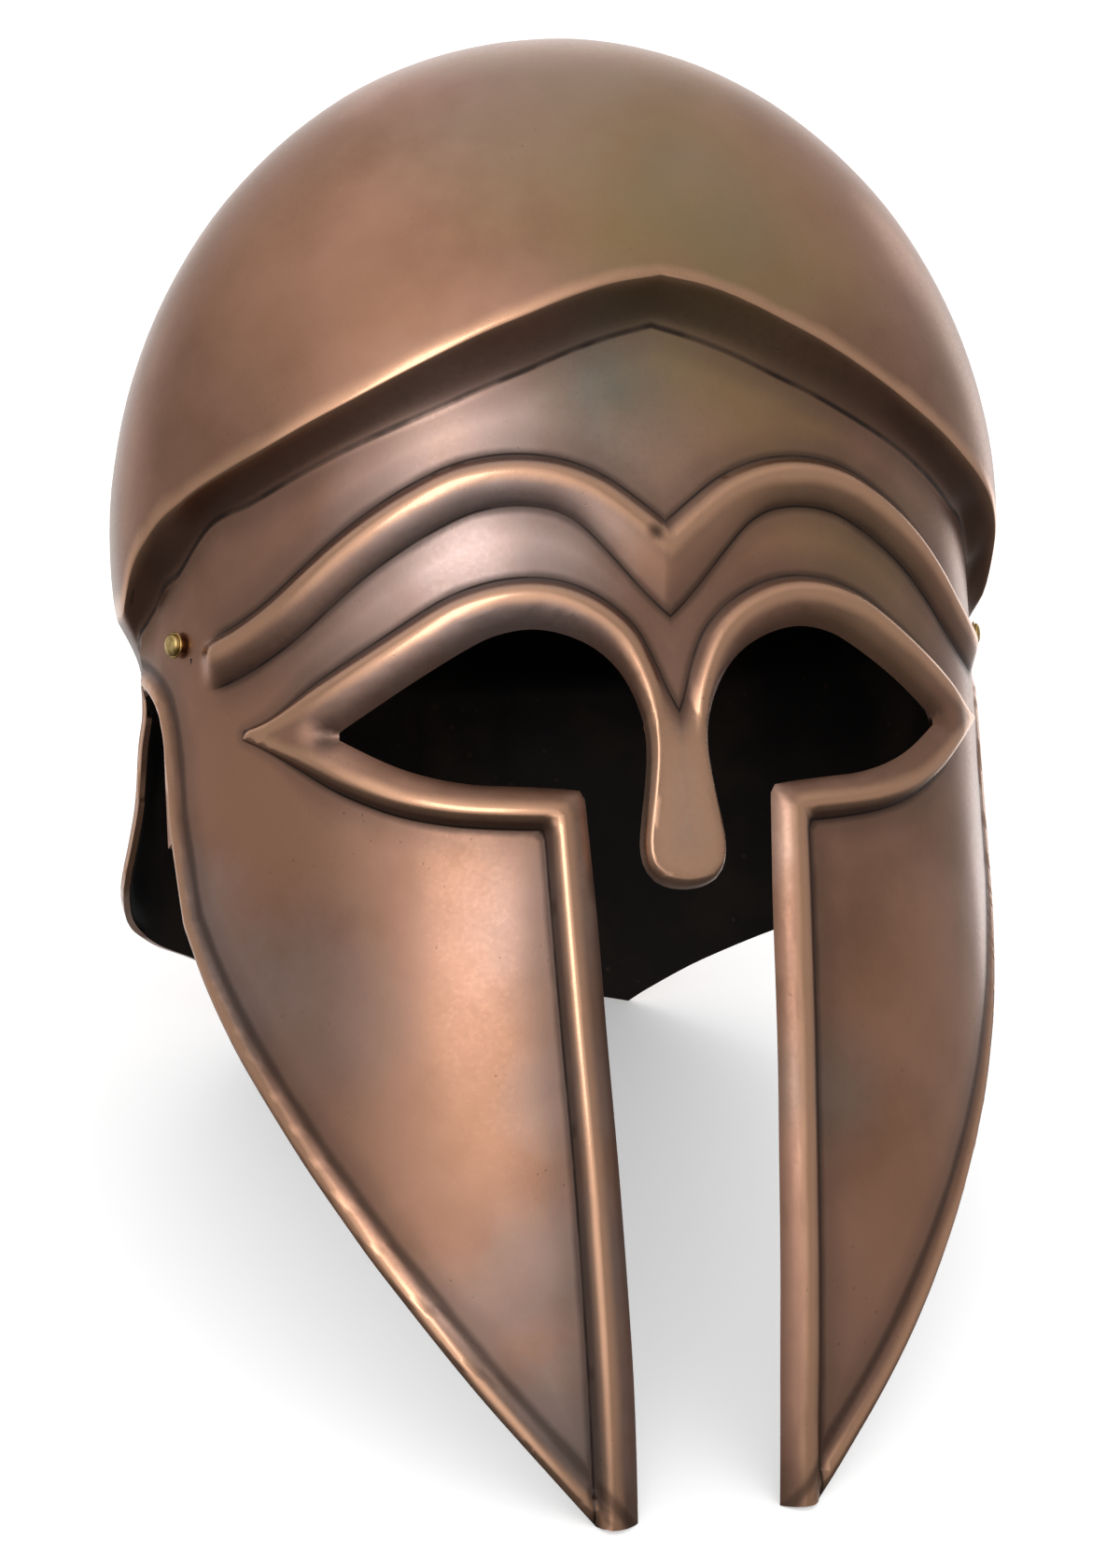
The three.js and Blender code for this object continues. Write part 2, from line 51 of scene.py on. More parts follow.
# %% Sizes of the sheet in millimetres, and shares of them
MM = 0.001
WALL = 1.5
FACE_HALF_WIDTH = 104.3
FACE_HEIGHT = 254.0
FACE_DEPTH = 72.0
SIDE_LINE = 102.3
DOME_HALF_WIDTH = FACE_HALF_WIDTH + 6.1
DOME_RISE = 119.8
DOME_LEVEL = 206.1
DOME_FRONT = 76.5
DOME_BACK = 125.0
CROWN_SHIFT = 2.8
REST_TILT = math.radians(20.2)
TIP_DROP = 0.6
UNDERCUT = 0.4
REAR_SOFTNESS = 0.45
RIM_HEIGHT = 3.3
RIM_FALL = 3.6
BROW_HEIGHT = 2.8
BROW_FALL = 3.8
BROW_REACH = 7.6
BROW_DIP = 4.5
BROW_DIP_SHARE = 0.25
EDGE_BEAD = 4.8
EDGE_CROWN = 0.36
EDGE_HEIGHT = 1.3
NOSE_ROUND = 1.9
NOSE_DEPTH = 2.6
SCORE_WIDTH = 0.6
HAMMER_DEPTH = 0.2
BROW_END = (0.875, 0.912)
BROW_MARGIN = 0.015
CORNER_SHARES = (0.7, 0.84)
CORNER_FALL = 0.3
CORNER_DROP = 0.25
MITRE = 14.0
FOOT_LEVEL = -0.03

# %% [markdown]
# Outlines are short tables of shares: x of the face's half width, z of its height, y of the side line. A
# smooth curve through a few points keeps the sweep of the real hammered lines.

# %% Outlines as shares of the sizes
EYE_UPPER = [
    (0.684, 0.6504), (0.6395, 0.665), (0.5331, 0.6972), (0.4238, 0.726), (0.3643, 0.7374), (0.2972, 0.7421),
    (0.2311, 0.7378), (0.1687, 0.726), (0.1208, 0.7079), (0.0882, 0.6843), (0.071, 0.6598), (0.0681, 0.6378),
    (0.0757, 0.6102), (0.0872, 0.5827), (0.094, 0.561), (0.0882, 0.5433), (0.0671, 0.5307), (0.0336, 0.5244),
    (0, 0.5228),
]
EYE_LOWER = [
    (0.2052, 0.6071), (0.2627, 0.6098), (0.3442, 0.6118), (0.4267, 0.6134), (0.5072, 0.6189),
    (0.5849, 0.6295), (0.684, 0.6504),
]
SLOT_EDGE = [
    (0.1553, -0.03), (0.1553, 0.0024), (0.1592, 0.1075), (0.1668, 0.2035), (0.1755, 0.3004), (0.185, 0.3969),
    (0.1918, 0.4937), (0.1985, 0.555), (0.2035, 0.595),
]
UPPER_CREST = [
    (0.838, 0.648), (0.7708, 0.6618), (0.6357, 0.7035), (0.4976, 0.7437), (0.4238, 0.7606), (0.3423, 0.7701),
    (0.257, 0.7705), (0.1764, 0.7587), (0.1083, 0.7362), (0.072, 0.7075), (0.052, 0.68), (0.046, 0.655),
    (0.0465, 0.634), (0.055, 0.61), (0.067, 0.583), (0.0735, 0.562), (0.068, 0.5477), (0.05, 0.5395),
    (0.025, 0.5365), (0, 0.5358),
]
LOWER_CREST = [
    (0.2589, 0.5886), (0.2886, 0.5894), (0.3816, 0.5906), (0.4746, 0.5933), (0.5657, 0.6004), (0.65, 0.6138),
    (0.7267, 0.6307), (0.838, 0.648),
]
SLOT_CREST = [
    (0.212, -0.03), (0.2138, 0.0335), (0.2196, 0.1244), (0.2263, 0.2154), (0.2339, 0.3071), (0.2435, 0.398),
    (0.2512, 0.489), (0.2579, 0.5886),
]
BROW_CREST = [
    (0.91, 0.7128), (0.8898, 0.7157), (0.837, 0.7303), (0.7709, 0.7547), (0.7095, 0.7819), (0.6462, 0.8079),
    (0.5762, 0.8311), (0.5005, 0.8512), (0.419, 0.8673), (0.3279, 0.8744), (0.2378, 0.872), (0.1524, 0.8598),
    (0.0767, 0.8386), (0, 0.813),
]
RIDGE_LINE = [
    (0, 0.4875), (0.114, 0.4708), (0.214, 0.4432), (0.295, 0.414), (0.375, 0.384), (0.458, 0.3464),
    (0.539, 0.3055), (0.616, 0.2638), (0.69, 0.2229), (0.763, 0.1778), (0.834, 0.1327), (0.9, 0.081),
    (0.953, 0.0192), (0.987, -0.0676), (1, -0.136),
]
CREASE_LINE = [
    (0, 1), (0.0815, 0.9909), (0.1774, 0.9772), (0.2704, 0.9606), (0.3634, 0.9449), (0.4554, 0.9276),
    (0.5494, 0.9098), (0.6405, 0.8913), (0.7268, 0.8705), (0.8111, 0.8472), (0.8907, 0.8248),
    (0.9377, 0.7886), (0.9837, 0.7476), (0.995, 0.715), (1, 0.69),
]
REAR_RIDGE = [(0, -0.136), (0.5, -0.17), (1, -0.18)]
REAR_CREASE = [(0, 0.69), (0.3, 0.672), (0.7, 0.64), (1, 0.625)]
NECK_WIDTH = [
    (0.26, 1.0495), (0.433, 1.0495), (0.4685, 1.042), (0.496, 1.038), (0.5315, 1.022), (0.565, 1.0075),
    (0.626, 0.997), (0.6594, 0.9885), (0.685, 0.993), (0.7, 1.003), (0.74, 1.048), (0.82, 1.058),
]
NECK_BACK = [
    (0.22, 2.07), (0.3, 2.035), (0.335, 2.03), (0.394, 2.018), (0.4724, 2.008), (0.5512, 2.014), (0.62, 2.05),
    (0.67, 2.095), (0.728, 2.165), (0.768, 2.205), (0.811, 2.222),
]
CHEEK_EDGE = [
    (0.178, -0.03), (0.2407, 0), (0.3202, 0.0394), (0.4784, 0.1189), (0.6261, 0.2016), (0.6961, 0.2445),
    (0.7622, 0.2878), (0.8226, 0.3327), (0.8782, 0.3787), (0.9223, 0.4268), (0.955, 0.4764),
]
NOTCH_FRONT = [
    (0.785, 0.527), (0.795, 0.56), (0.815, 0.6), (0.842, 0.638), (0.872, 0.662), (0.907, 0.676),
    (0.945, 0.679),
]
NOTCH_REAR = [
    (0.985, 0.663), (1.012, 0.632), (1.035, 0.59), (1.053, 0.548), (1.068, 0.518), (1.086, 0.495),
    (1.106, 0.4855),
]
GUARD_EDGE = [
    (1.16, 0.472), (1.29, 0.4431), (1.47, 0.41), (1.66, 0.378), (1.81, 0.338), (1.905, 0.299), (1.955, 0.272),
    (2.01, 0.25), (2.3, 0.25),
]

# %% [markdown]
# The skin is described by two numbers, as a chart of the helmet: how far round it a place lies, and how far
# down. The rules that shaped the solids turn a place of the chart into a point of the smooth skin. In front
# the face plate is blunt in plan, behind the ears the neck guard is a half ellipse, and above is a dome.

# %% Smooth curves through short tables
def through(table, count=12):
    """Points of a smooth curve through the table's points, with count steps between two of them."""
    points = np.array(table, float)
    before = np.vstack([2 * points[0] - points[1], points[:-1]])
    after = np.vstack([points[1:], 2 * points[-1] - points[-2]])
    slopes = (after - before) / 2
    t = np.linspace(0, 1, count, endpoint=False)[:, None]
    made = []
    for a, b, m, n in zip(points[:-1], points[1:], slopes[:-1], slopes[1:]):
        h = 1 - t
        made.append(a * h * h * (1 + 2 * t) + b * t * t * (3 - 2 * t) + m * t * h * h - n * t * t * h)
    made.append(points[-1:])
    return np.vstack(made)


def reader(table):
    """A function that reads a table smoothly, for tables whose first column only rises."""
    points = np.array(table, float)
    x, y = points[:, 0], points[:, 1]
    slopes = np.gradient(y, x)

    def read(at):
        at = np.clip(at, x[0], x[-1])
        i = np.clip(np.searchsorted(x, at, side="right") - 1, 0, len(x) - 2)
        span = x[i + 1] - x[i]
        t = (at - x[i]) / span
        h = 1 - t
        value = y[i] * h * h * (1 + 2 * t) + y[i + 1] * t * t * (3 - 2 * t)
        return value + slopes[i] * span * t * h * h - slopes[i + 1] * span * t * t * h

    return read


def soft_step(low, high, at):
    t = np.clip((at - low) / (high - low), 0, 1)
    return t * t * (3 - 2 * t)


neck_width_at = reader(NECK_WIDTH)
neck_back_at = reader(NECK_BACK)
ridge_at = reader(RIDGE_LINE)
crease_at = reader(CREASE_LINE)
rear_ridge_at = reader(REAR_RIDGE)
rear_crease_at = reader(REAR_CREASE)

# %% The smooth skin
FACE_CURVE = (0.0188, 0.067, 1.112, -0.6874)
FOREHEAD_LEVEL = 0.768
FOREHEAD_SPAN = 0.236
FOREHEAD_BEND = 0.0833
PLAN_POWER = 2.6
PLAN_CLOSE = 1.4
PLAN_POINTS = 6000
DOME_POWER = 1.87
SIDE_BLEND = 9.0
HALF_REAR = 160.0
FLOOR_Z = FOOT_LEVEL * FACE_HEIGHT


def face_front(z):
    """How far back the middle of the face plate lies at a height. It bends back more at the forehead."""
    q = z / FACE_HEIGHT
    forehead = np.maximum(0, (q - FOREHEAD_LEVEL) / FOREHEAD_SPAN)
    curve = sum(factor * q**power for power, factor in enumerate(FACE_CURVE))
    return FACE_DEPTH * (curve + FOREHEAD_BEND * forehead**2)


def face_shape(share, z):
    bulge = np.power(1 - np.power(np.clip(share, 0, 1), PLAN_POWER), 1 / PLAN_CLOSE)
    return np.stack([FACE_HALF_WIDTH * share, face_front(z) + FACE_DEPTH * (1 - bulge), z], -1)


def neck_shape(share, depth, z):
    """share is the sine and depth the cosine of the way round from straight behind."""
    reach = SIDE_LINE * neck_back_at(z / FACE_HEIGHT) - SIDE_LINE
    x = FACE_HALF_WIDTH * neck_width_at(z / FACE_HEIGHT) * share
    return np.stack([x, SIDE_LINE + reach * depth, z], -1)


def dome_shape(share, depth, z, rear):
    high = np.clip((z - DOME_LEVEL) / DOME_RISE, -0.5, 0.99999)
    girth = np.sqrt(1 - high**2)
    front = np.power(np.maximum(0, 1 - np.power(share, DOME_POWER)), 1 / DOME_POWER)
    bow = np.where(rear, DOME_BACK * depth, -DOME_FRONT * front)
    middle = SIDE_LINE + CROWN_SHIFT * np.maximum(0, high) ** 2
    return np.stack([DOME_HALF_WIDTH * girth * share, middle + bow * girth, z], -1)


plan = face_shape(1 - (1 - np.linspace(0, 1, PLAN_POINTS)) ** 3, np.zeros(PLAN_POINTS))
plan_arc = np.concatenate([[0], np.cumsum(np.linalg.norm(np.diff(plan[:, :2], axis=0), axis=1))])
HALF_FRONT = plan_arc[-1]
print("half of the face plate is", round(HALF_FRONT, 1), "mm round")


def share_at(arc):
    return np.interp(arc, plan_arc, plan[:, 0] / FACE_HALF_WIDTH)


def arc_at(share):
    return np.interp(share, plan[:, 0] / FACE_HALF_WIDTH, plan_arc)


def way_round(arc):
    """Whether places lie behind the ears, their shares of the half width before and their turns behind."""
    turn = np.clip((arc - HALF_FRONT) / HALF_REAR, 0, 1) * math.pi / 2
    return arc > HALF_FRONT, share_at(np.minimum(arc, HALF_FRONT)), turn


def lower_skin(arc, z):
    """Face plate, cheeks and neck guard: arc is the way round from the middle of the face, in millimetres."""
    rear, share, turn = way_round(arc)
    neck = neck_shape(np.where(rear, np.cos(turn), 1.0), np.where(rear, np.sin(turn), 0.0), z)
    face = face_shape(share, z)
    mix = np.where(rear, 1.0, soft_step(HALF_FRONT - SIDE_BLEND, HALF_FRONT, arc))[..., None]
    return face * (1 - mix) + neck * mix


def levels(arc):
    """Heights of the ridge and of the crease below it, the way round."""
    rear, share, turn = way_round(arc)
    behind = np.sin(turn)
    ridge = DOME_LEVEL + DOME_RISE * np.where(rear, rear_ridge_at(behind), ridge_at(share))
    crease = FACE_HEIGHT * np.where(rear, rear_crease_at(behind), crease_at(share))
    return ridge, crease


# %% The chart: rows of the dome, of the undercut band and of the plates below
ROUND_OVER = 0.02
ROUND_UNDER = 0.18


def sharp_skin(arc, down):
    """Points of the skin. down is 0 at the crown, 1 at the ridge, 2 at the crease and 3 at the foot."""
    rear, share, turn = way_round(arc)
    across = np.where(rear, np.cos(turn), share)
    behind = np.where(rear, np.sin(turn), 0.0)
    ridge_z, crease_z = levels(arc)
    ridge_angle = np.arcsin((ridge_z - DOME_LEVEL) / DOME_RISE)
    angle = math.pi / 2 + (ridge_angle - math.pi / 2) * np.clip(down, 0, 1)
    dome = dome_shape(across, behind, DOME_LEVEL + DOME_RISE * np.sin(angle), rear)
    ridge = dome_shape(across, behind, ridge_z, rear)
    crease = lower_skin(arc, crease_z)
    drop = (ridge_z - crease_z)[..., None] * np.array([0, 0, 1.0])
    leave = ridge - np.where(rear, REAR_SOFTNESS * behind, 0)[..., None] * drop
    arrive = crease + UNDERCUT * drop
    t = np.clip(down - 1, 0, 1)[..., None]
    h = 1 - t
    band = h**3 * ridge + 3 * h * h * t * leave + 3 * h * t * t * arrive + t**3 * crease
    z = crease_z + (FLOOR_Z - crease_z) * np.clip(down - 2, 0, 1)
    plate = lower_skin(arc, z)
    down = down[..., None]
    return np.where(down <= 1, dome, np.where(down <= 2, band, plate))


def skin(arc, down):
    """The same with the ridge rounded over, as a hammered fold is."""
    arc = np.abs(arc)
    made = sharp_skin(arc, down)
    t = 0.5 + np.where(down < 1, (down - 1) / ROUND_OVER, (down - 1) / ROUND_UNDER) / 2
    near = (t > 0) & (t < 1)
    if near.any():
        a = arc[near]
        t = t[near][:, None]
        h = 1 - t
        above = sharp_skin(a, np.full(len(a), 1 - ROUND_OVER))
        below = sharp_skin(a, np.full(len(a), 1 + ROUND_UNDER))
        ridge = sharp_skin(a, np.ones(len(a)))
        made[near] = h * h * above + 2 * t * h * ridge + t * t * below
    return made


def outward(arc, down):
    """Unit directions out of the skin, from points a little way off along the chart."""
    side, along = 0.4, 0.004
    a = skin(np.abs(arc) + side, down) - skin(np.maximum(0, np.abs(arc) - side), down)
    b = skin(arc, np.minimum(3, down + along)) - skin(arc, np.maximum(0.002, down - along))
    out = np.cross(b, a)
    return out / np.maximum(1e-9, np.linalg.norm(out, axis=-1, keepdims=True))


# %% [markdown]
# Every outline becomes a run of points on the skin. How far a place lies from such a run, and on which side,
# says where to trim the sheet and how high a rim or brow stands there.

# %% Distance from a run of points
SEARCH_REACH = 30
FAR = 99.0
OUTLINE_STEPS = 6
EDGE_STEPS = 4


def distance(places, run):
    """Distance in millimetres of each place from the nearest point of an open run, if it is in reach."""
    best = np.full(len(places), 1e9)
    for a, b in zip(run[:-1], run[1:]):
        edge = b - a
        length = max(1e-12, float(edge @ edge))
        near = np.linalg.norm(places - (a + b) / 2, axis=1) < SEARCH_REACH + math.sqrt(length)
        if not near.any():
            continue
        p = places[near]
        t = np.clip((p - a) @ edge / length, 0, 1)[:, None]
        best[near] = np.minimum(best[near], np.linalg.norm(p - a - t * edge, axis=1))
    return best


def inside(x, z, outline):
    """Whether each place lies in a closed outline of the x and z plane."""
    hit = np.zeros(len(x), bool)
    for (x1, z1), (x2, z2) in zip(outline, np.roll(outline, -1, axis=0)):
        spans = (z1 > z) != (z2 > z)
        if z1 != z2:
            hit ^= spans & (x < (x2 - x1) * (z - z1) / (z2 - z1) + x1)
    return hit


def on_face(table):
    """Chart places, as arc and height, of an outline given by its shares of half width and height."""
    points = np.array(table)
    return np.stack([arc_at(points[:, 0]), points[:, 1] * FACE_HEIGHT], -1)


def on_side(table):
    """The same for the notch, whose front edge is given by its distance back."""
    points = np.array(table)
    back, z = points[:, 0] * SIDE_LINE, points[:, 1] * FACE_HEIGHT
    rise = np.clip((back - face_front(z)) / FACE_DEPTH, 0, 0.995)
    share = np.power(1 - np.power(1 - rise, PLAN_CLOSE), 1 / PLAN_POWER)
    return np.stack([arc_at(share), z], -1)


def on_neck(table):
    """The same for the neck guard, whose edge is given by its distance back too."""
    points = np.array(table)
    z = points[:, 1] * FACE_HEIGHT
    reach = SIDE_LINE * neck_back_at(points[:, 1]) - SIDE_LINE
    depth = np.clip((points[:, 0] * SIDE_LINE - SIDE_LINE) / reach, 0, 1)
    return np.stack([HALF_FRONT + HALF_REAR * np.arcsin(depth) * 2 / math.pi, z], -1)


def lift(run):
    """Chart places of arc and height, brought onto the skin."""
    return lower_skin(run[:, 0], run[:, 1])


def joined(*tables):
    """One run through the slot's side, the lower half of the eye and its upper half."""
    slot, lower, upper = (through(table, OUTLINE_STEPS) for table in tables)
    return np.vstack([slot, lower, upper[1:]])


def closed(run):
    """The run closed a little past the middle of the face, so that the middle lies inside."""
    return np.vstack([run, [(-0.01, run[-1, 1]), (-0.01, FOOT_LEVEL)]])


opening = joined(SLOT_EDGE, EYE_LOWER, EYE_UPPER)
rim_crest = joined(SLOT_CREST, LOWER_CREST, UPPER_CREST)
brow_crest = through(BROW_CREST, OUTLINE_STEPS)
lower_edge = np.vstack([
    on_face(through(CHEEK_EDGE, OUTLINE_STEPS)), on_side(through(NOTCH_FRONT, EDGE_STEPS)),
    on_neck(through(NOTCH_REAR, EDGE_STEPS)), on_neck(through(GUARD_EDGE, EDGE_STEPS)),
])
lower_edge = lower_edge[np.argsort(lower_edge[:, 0], kind="stable")]
closed_opening = closed(opening)
closed_crest = closed(rim_crest)
opening_run = lift(on_face(opening))
crest_run = lift(on_face(rim_crest))
brow_run = lift(on_face(brow_crest))
mitre = brow_run[-1] - brow_run[-2]
brow_run = np.vstack([brow_run, brow_run[-1] + mitre * MITRE / np.linalg.norm(mitre)])
edge_run = lift(lower_edge)
print("points of the trim:", len(opening_run) + len(edge_run))


def fields(arc, down, wanted=("opening", "crest", "brow", "score", "edge", "rest")):
    """Signed distances of chart places: to openings, crests, the scored line, the edge and the floor."""
    places = skin(arc, down)
    places[:, 0] = np.abs(places[:, 0])
    on_plate = (down >= 2) & (np.abs(arc) < HALF_FRONT)
    share = places[:, 0] / FACE_HALF_WIDTH
    height = places[:, 2] / FACE_HEIGHT
    at = {}
    if "opening" in wanted:
        off = distance(places, opening_run)
        at["opening"] = np.where(on_plate & inside(share, height, closed_opening), -off, off)
    if "crest" in wanted:
        off = distance(places, crest_run)
        narrowed = 1 - (1 - CORNER_FALL) * soft_step(*CORNER_SHARES, share)
        off = np.where(on_plate & inside(share, height, closed_crest), -off, off / narrowed)
        at["crest"] = np.where(on_plate, off, FAR)
    if "brow" in wanted or "score" in wanted:
        line = np.interp(share, brow_crest[::-1, 0], brow_crest[::-1, 1])
        off = distance(places, brow_run)
        covered = on_plate & (share < BROW_END[1] + BROW_MARGIN)
        at["brow"] = np.where(covered, np.where(height < line, -off, off), FAR)
        at["score"] = at["brow"] + BROW_REACH + BROW_DIP * (1 - soft_step(0, BROW_DIP_SHARE, share))
    if "edge" in wanted:
        edge_z = np.interp(np.abs(arc), lower_edge[:, 0], lower_edge[:, 1])
        off = distance(places, edge_run)
        at["edge"] = np.where((down > 2) & (places[:, 2] < edge_z), -off, off)
    if "rest" in wanted:
        rest_z = -TIP_DROP + places[:, 1] * math.tan(REST_TILT)
        at["rest"] = (places[:, 2] - rest_z) * math.cos(REST_TILT)
    return at


# %% [markdown]
# A flat grid is the sheet before it is bent. Its x is the way round and its y the way down, and its z is
# lifted to one of the distances, so that a level plane through the grid is a cut along an outline. Bisect
# trims the eye openings, the slot, the lower edge and the feet this way, and it also lays edges along each
# crest and crease, where the light breaks. Points that lie close to such a line are first moved onto it, so
# that no thin slivers are left to spoil the shading.

# %% The flat sheet
FRONT_COLUMNS = 80
REAR_COLUMNS = 38
DOME_ROWS = 38
BEND_ROWS = 3
BAND_ROWS = 8
LOWER_ROWS = 124

column_arcs = np.concatenate([
    np.linspace(-HALF_FRONT - HALF_REAR, -HALF_FRONT, REAR_COLUMNS, endpoint=False),
    np.linspace(-HALF_FRONT, HALF_FRONT, 2 * FRONT_COLUMNS, endpoint=False),
    np.linspace(HALF_FRONT, HALF_FRONT + HALF_REAR, REAR_COLUMNS + 1),
])
row_downs = np.concatenate([
    np.linspace(0, 1 - ROUND_OVER, DOME_ROWS, endpoint=False),
    np.linspace(1 - ROUND_OVER, 1, BEND_ROWS, endpoint=False),
    np.linspace(1, 1 + ROUND_UNDER, BEND_ROWS, endpoint=False),
    np.linspace(1 + ROUND_UNDER, 2, BAND_ROWS, endpoint=False),
    np.linspace(2, 3, LOWER_ROWS + 1),
])
bpy.ops.mesh.primitive_grid_add(
    x_subdivisions=len(column_arcs) - 1, y_subdivisions=len(row_downs) - 1, size=2
)
sheet = bpy.context.object
sheet.name = "helmet_skin"


def read_points(obj):
    points = np.empty(len(obj.data.vertices) * 3)
    obj.data.vertices.foreach_get("co", points)
    return points.reshape(-1, 3)


def write_points(obj, points):
    obj.data.vertices.foreach_set("co", np.ascontiguousarray(points, float).ravel())
    obj.data.update()


def select_all_in_edit(obj):
    bpy.ops.object.select_all(action="DESELECT")
    obj.select_set(True)
    bpy.context.view_layer.objects.active = obj
    bpy.ops.object.mode_set(mode="EDIT")
    bpy.ops.mesh.select_all(action="SELECT")


flat = read_points(sheet)
flat[:, 0] = column_arcs[np.rint((flat[:, 0] + 1) / 2 * (len(column_arcs) - 1)).astype(int)]
flat[:, 1] = row_downs[np.rint((flat[:, 1] + 1) / 2 * (len(row_downs) - 1)).astype(int)]
write_points(sheet, flat)
print("grid of", len(column_arcs), "by", len(row_downs))


# %% Move points onto a line that passes close by
SNAP = 0.6
SEAM_MARGIN = 7
PROBE = 0.03
SNAP_TURNS = 3
laid = []


def snap(points, name, level):
    """Moves the chart places that lie close to a line onto it, unless an earlier line holds them."""
    arcs = np.abs(points[:, 0])
    free = (arcs < HALF_FRONT + HALF_REAR - 0.01) & (np.abs(arcs - HALF_FRONT) > SEAM_MARGIN)
    near = np.flatnonzero((points[:, 1] > 1.999) & free)
    near = near[np.abs(fields(points[near, 0], points[near, 1], [name])[name] - level) < SNAP]
    at = fields(points[near, 0], points[near, 1])
    held = np.zeros(len(near), bool)
    for other, height in laid:
        held |= np.abs(at[other] - height) < PROBE
    near = near[~held]
    arc, down = points[near, 0], points[near, 1]
    if not len(arc):
        return
    free = down > 2.0005
    for turn in range(SNAP_TURNS):
        scale = np.linalg.norm(skin(arc, down + 0.002) - skin(arc, down + 0.001), axis=1) / 0.001
        here = fields(arc, down, [name])[name]
        slope_round = (fields(arc + PROBE, down, [name])[name] - here) / PROBE
        slope_down = (fields(arc, down + PROBE / scale, [name])[name] - here) / PROBE * free
        step = (level - here) / np.maximum(0.25, slope_round**2 + slope_down**2)
        step = np.clip(step, -SNAP, SNAP)
        arc = arc + step * slope_round * (arc != 0)
        down = np.clip(down + step * slope_down / scale, 2, 3)
    points[near, 0], points[near, 1] = arc, down


# %% Trim the sheet and lay edges along the relief
CUT_MERGE = 0.04


def cut(obj, name, level, trim=False):
    """Cuts the flat sheet where a distance has this level, and with trim drops what lies below."""
    points = read_points(obj)
    snap(points, name, level)
    points[:, 2] = fields(points[:, 0], points[:, 1], [name])[name]
    write_points(obj, points)
    select_all_in_edit(obj)
    bpy.ops.mesh.bisect(plane_co=(0, 0, level), plane_no=(0, 0, 1), clear_inner=trim, threshold=CUT_MERGE)
    bpy.ops.object.mode_set(mode="OBJECT")
    points = read_points(obj)
    points[:, 2] = 0
    write_points(obj, points)
    laid.append((name, level))


trims = [("rest", 0), ("opening", 0), ("edge", 0)]
lines = [
    *[("crest", RIM_FALL * share) for share in (0, 1, 0.3, 0.65, -0.25, -0.7)],
    *[("brow", BROW_FALL * share) for share in (0, 1, 0.3, 0.65, -0.3)],
    ("score", 0), ("score", -SCORE_WIDTH), ("score", SCORE_WIDTH), ("crest", RIM_FALL + SCORE_WIDTH),
    ("brow", BROW_FALL + SCORE_WIDTH),
    *[("edge", EDGE_BEAD * share) for share in (EDGE_CROWN, 1, 0.68)],
    ("opening", NOSE_ROUND), ("opening", 0.25 * NOSE_ROUND),
]
for name, level in trims:
    cut(sheet, name, level, True)
for name, level in lines:
    cut(sheet, name, level)
print("faces of the trimmed sheet:", len(sheet.data.polygons))

# %% [markdown]
# Rims and brows are hammered out of the sheet. Each one is a height that depends on how far a place lies
# from its crest: a gentle side, a rounded crest and a steep side that ends in a crisp crease. Where the rims
# of both eyes meet over the nose, the hollow between them runs out into the nose guard's flat plate. A slow
# unevenness of a few tenths of a millimetre is what the hammer leaves.

# %% Heights of rims, brows and beads
RIM_WIDTH = 9.5
NOSE_SHARES = (0.1, 0.17)
NOSE_LEVELS = (0.62, 0.7)
HOLLOW_SHARES = (0.1, 0.14)
HOLLOW_LEVELS = (0.645, 0.735)
BROW_POWER = 1.7
BEAD_FADE = (34, 46)


def rounded(share):
    """A side that leaves its crest level and ends in a crease."""
    return 1 - np.clip(share, 0, 1) ** 2


def relief(arc, down, at):
    """Height of the hammered work over the skin, the highest of rim, brow and bead."""
    place = skin(arc, down)
    share = np.abs(place[:, 0]) / FACE_HALF_WIDTH
    height = place[:, 2] / FACE_HEIGHT
    metal = np.maximum(0, at["opening"])
    span = np.clip(metal + np.abs(at["crest"]), 1e-3, RIM_WIDTH)
    rise = 1 - (1 - np.clip(metal / span, 0, 1)) ** 2
    side = np.sqrt(1 - (1 - np.clip(metal / NOSE_ROUND, 0, 1)) ** 2)
    nose = (1 - soft_step(*NOSE_SHARES, share)) * (1 - soft_step(*NOSE_LEVELS, height))
    plate = side - (1 - side) * NOSE_DEPTH / RIM_HEIGHT
    within = rise * (1 - nose) + plate * nose
    hollow = (1 - soft_step(*HOLLOW_LEVELS, height)) * (1 - soft_step(*HOLLOW_SHARES, share))
    beyond = np.maximum(rounded(at["crest"] / RIM_FALL), hollow)
    beyond = beyond * (1 - nose) + np.minimum(beyond, plate) * nose
    corner = 1 - CORNER_DROP * soft_step(*CORNER_SHARES, share)
    rim = RIM_HEIGHT * corner * np.where(at["crest"] < 0, within, beyond)
    above = rounded(at["brow"] / BROW_FALL)
    below = 1 - np.clip(at["brow"] / (at["brow"] - at["score"] - 1e-6), 0, 1) ** BROW_POWER
    brow = BROW_HEIGHT * np.where(at["brow"] > 0, above, below) * (1 - soft_step(*BROW_END, share))
    s = np.clip(at["edge"] / EDGE_BEAD, 0, 1)
    rising = 0.4 + 0.6 * np.sin(np.clip(s / EDGE_CROWN, 0, 1) * math.pi / 2)
    falling = 0.5 + 0.5 * np.cos(math.pi * np.clip((s - EDGE_CROWN) / (1 - EDGE_CROWN), 0, 1))
    along = 1 - soft_step(HALF_FRONT + BEAD_FADE[0], HALF_FRONT + BEAD_FADE[1], np.abs(arc))
    bead = EDGE_HEIGHT * np.where(s < EDGE_CROWN, rising, falling) * along
    return np.maximum(np.maximum(rim, brow), bead)


# %% Bend the sheet over the helmet's form
HAMMER_REACH = 34
HAMMER_DETAIL = 13

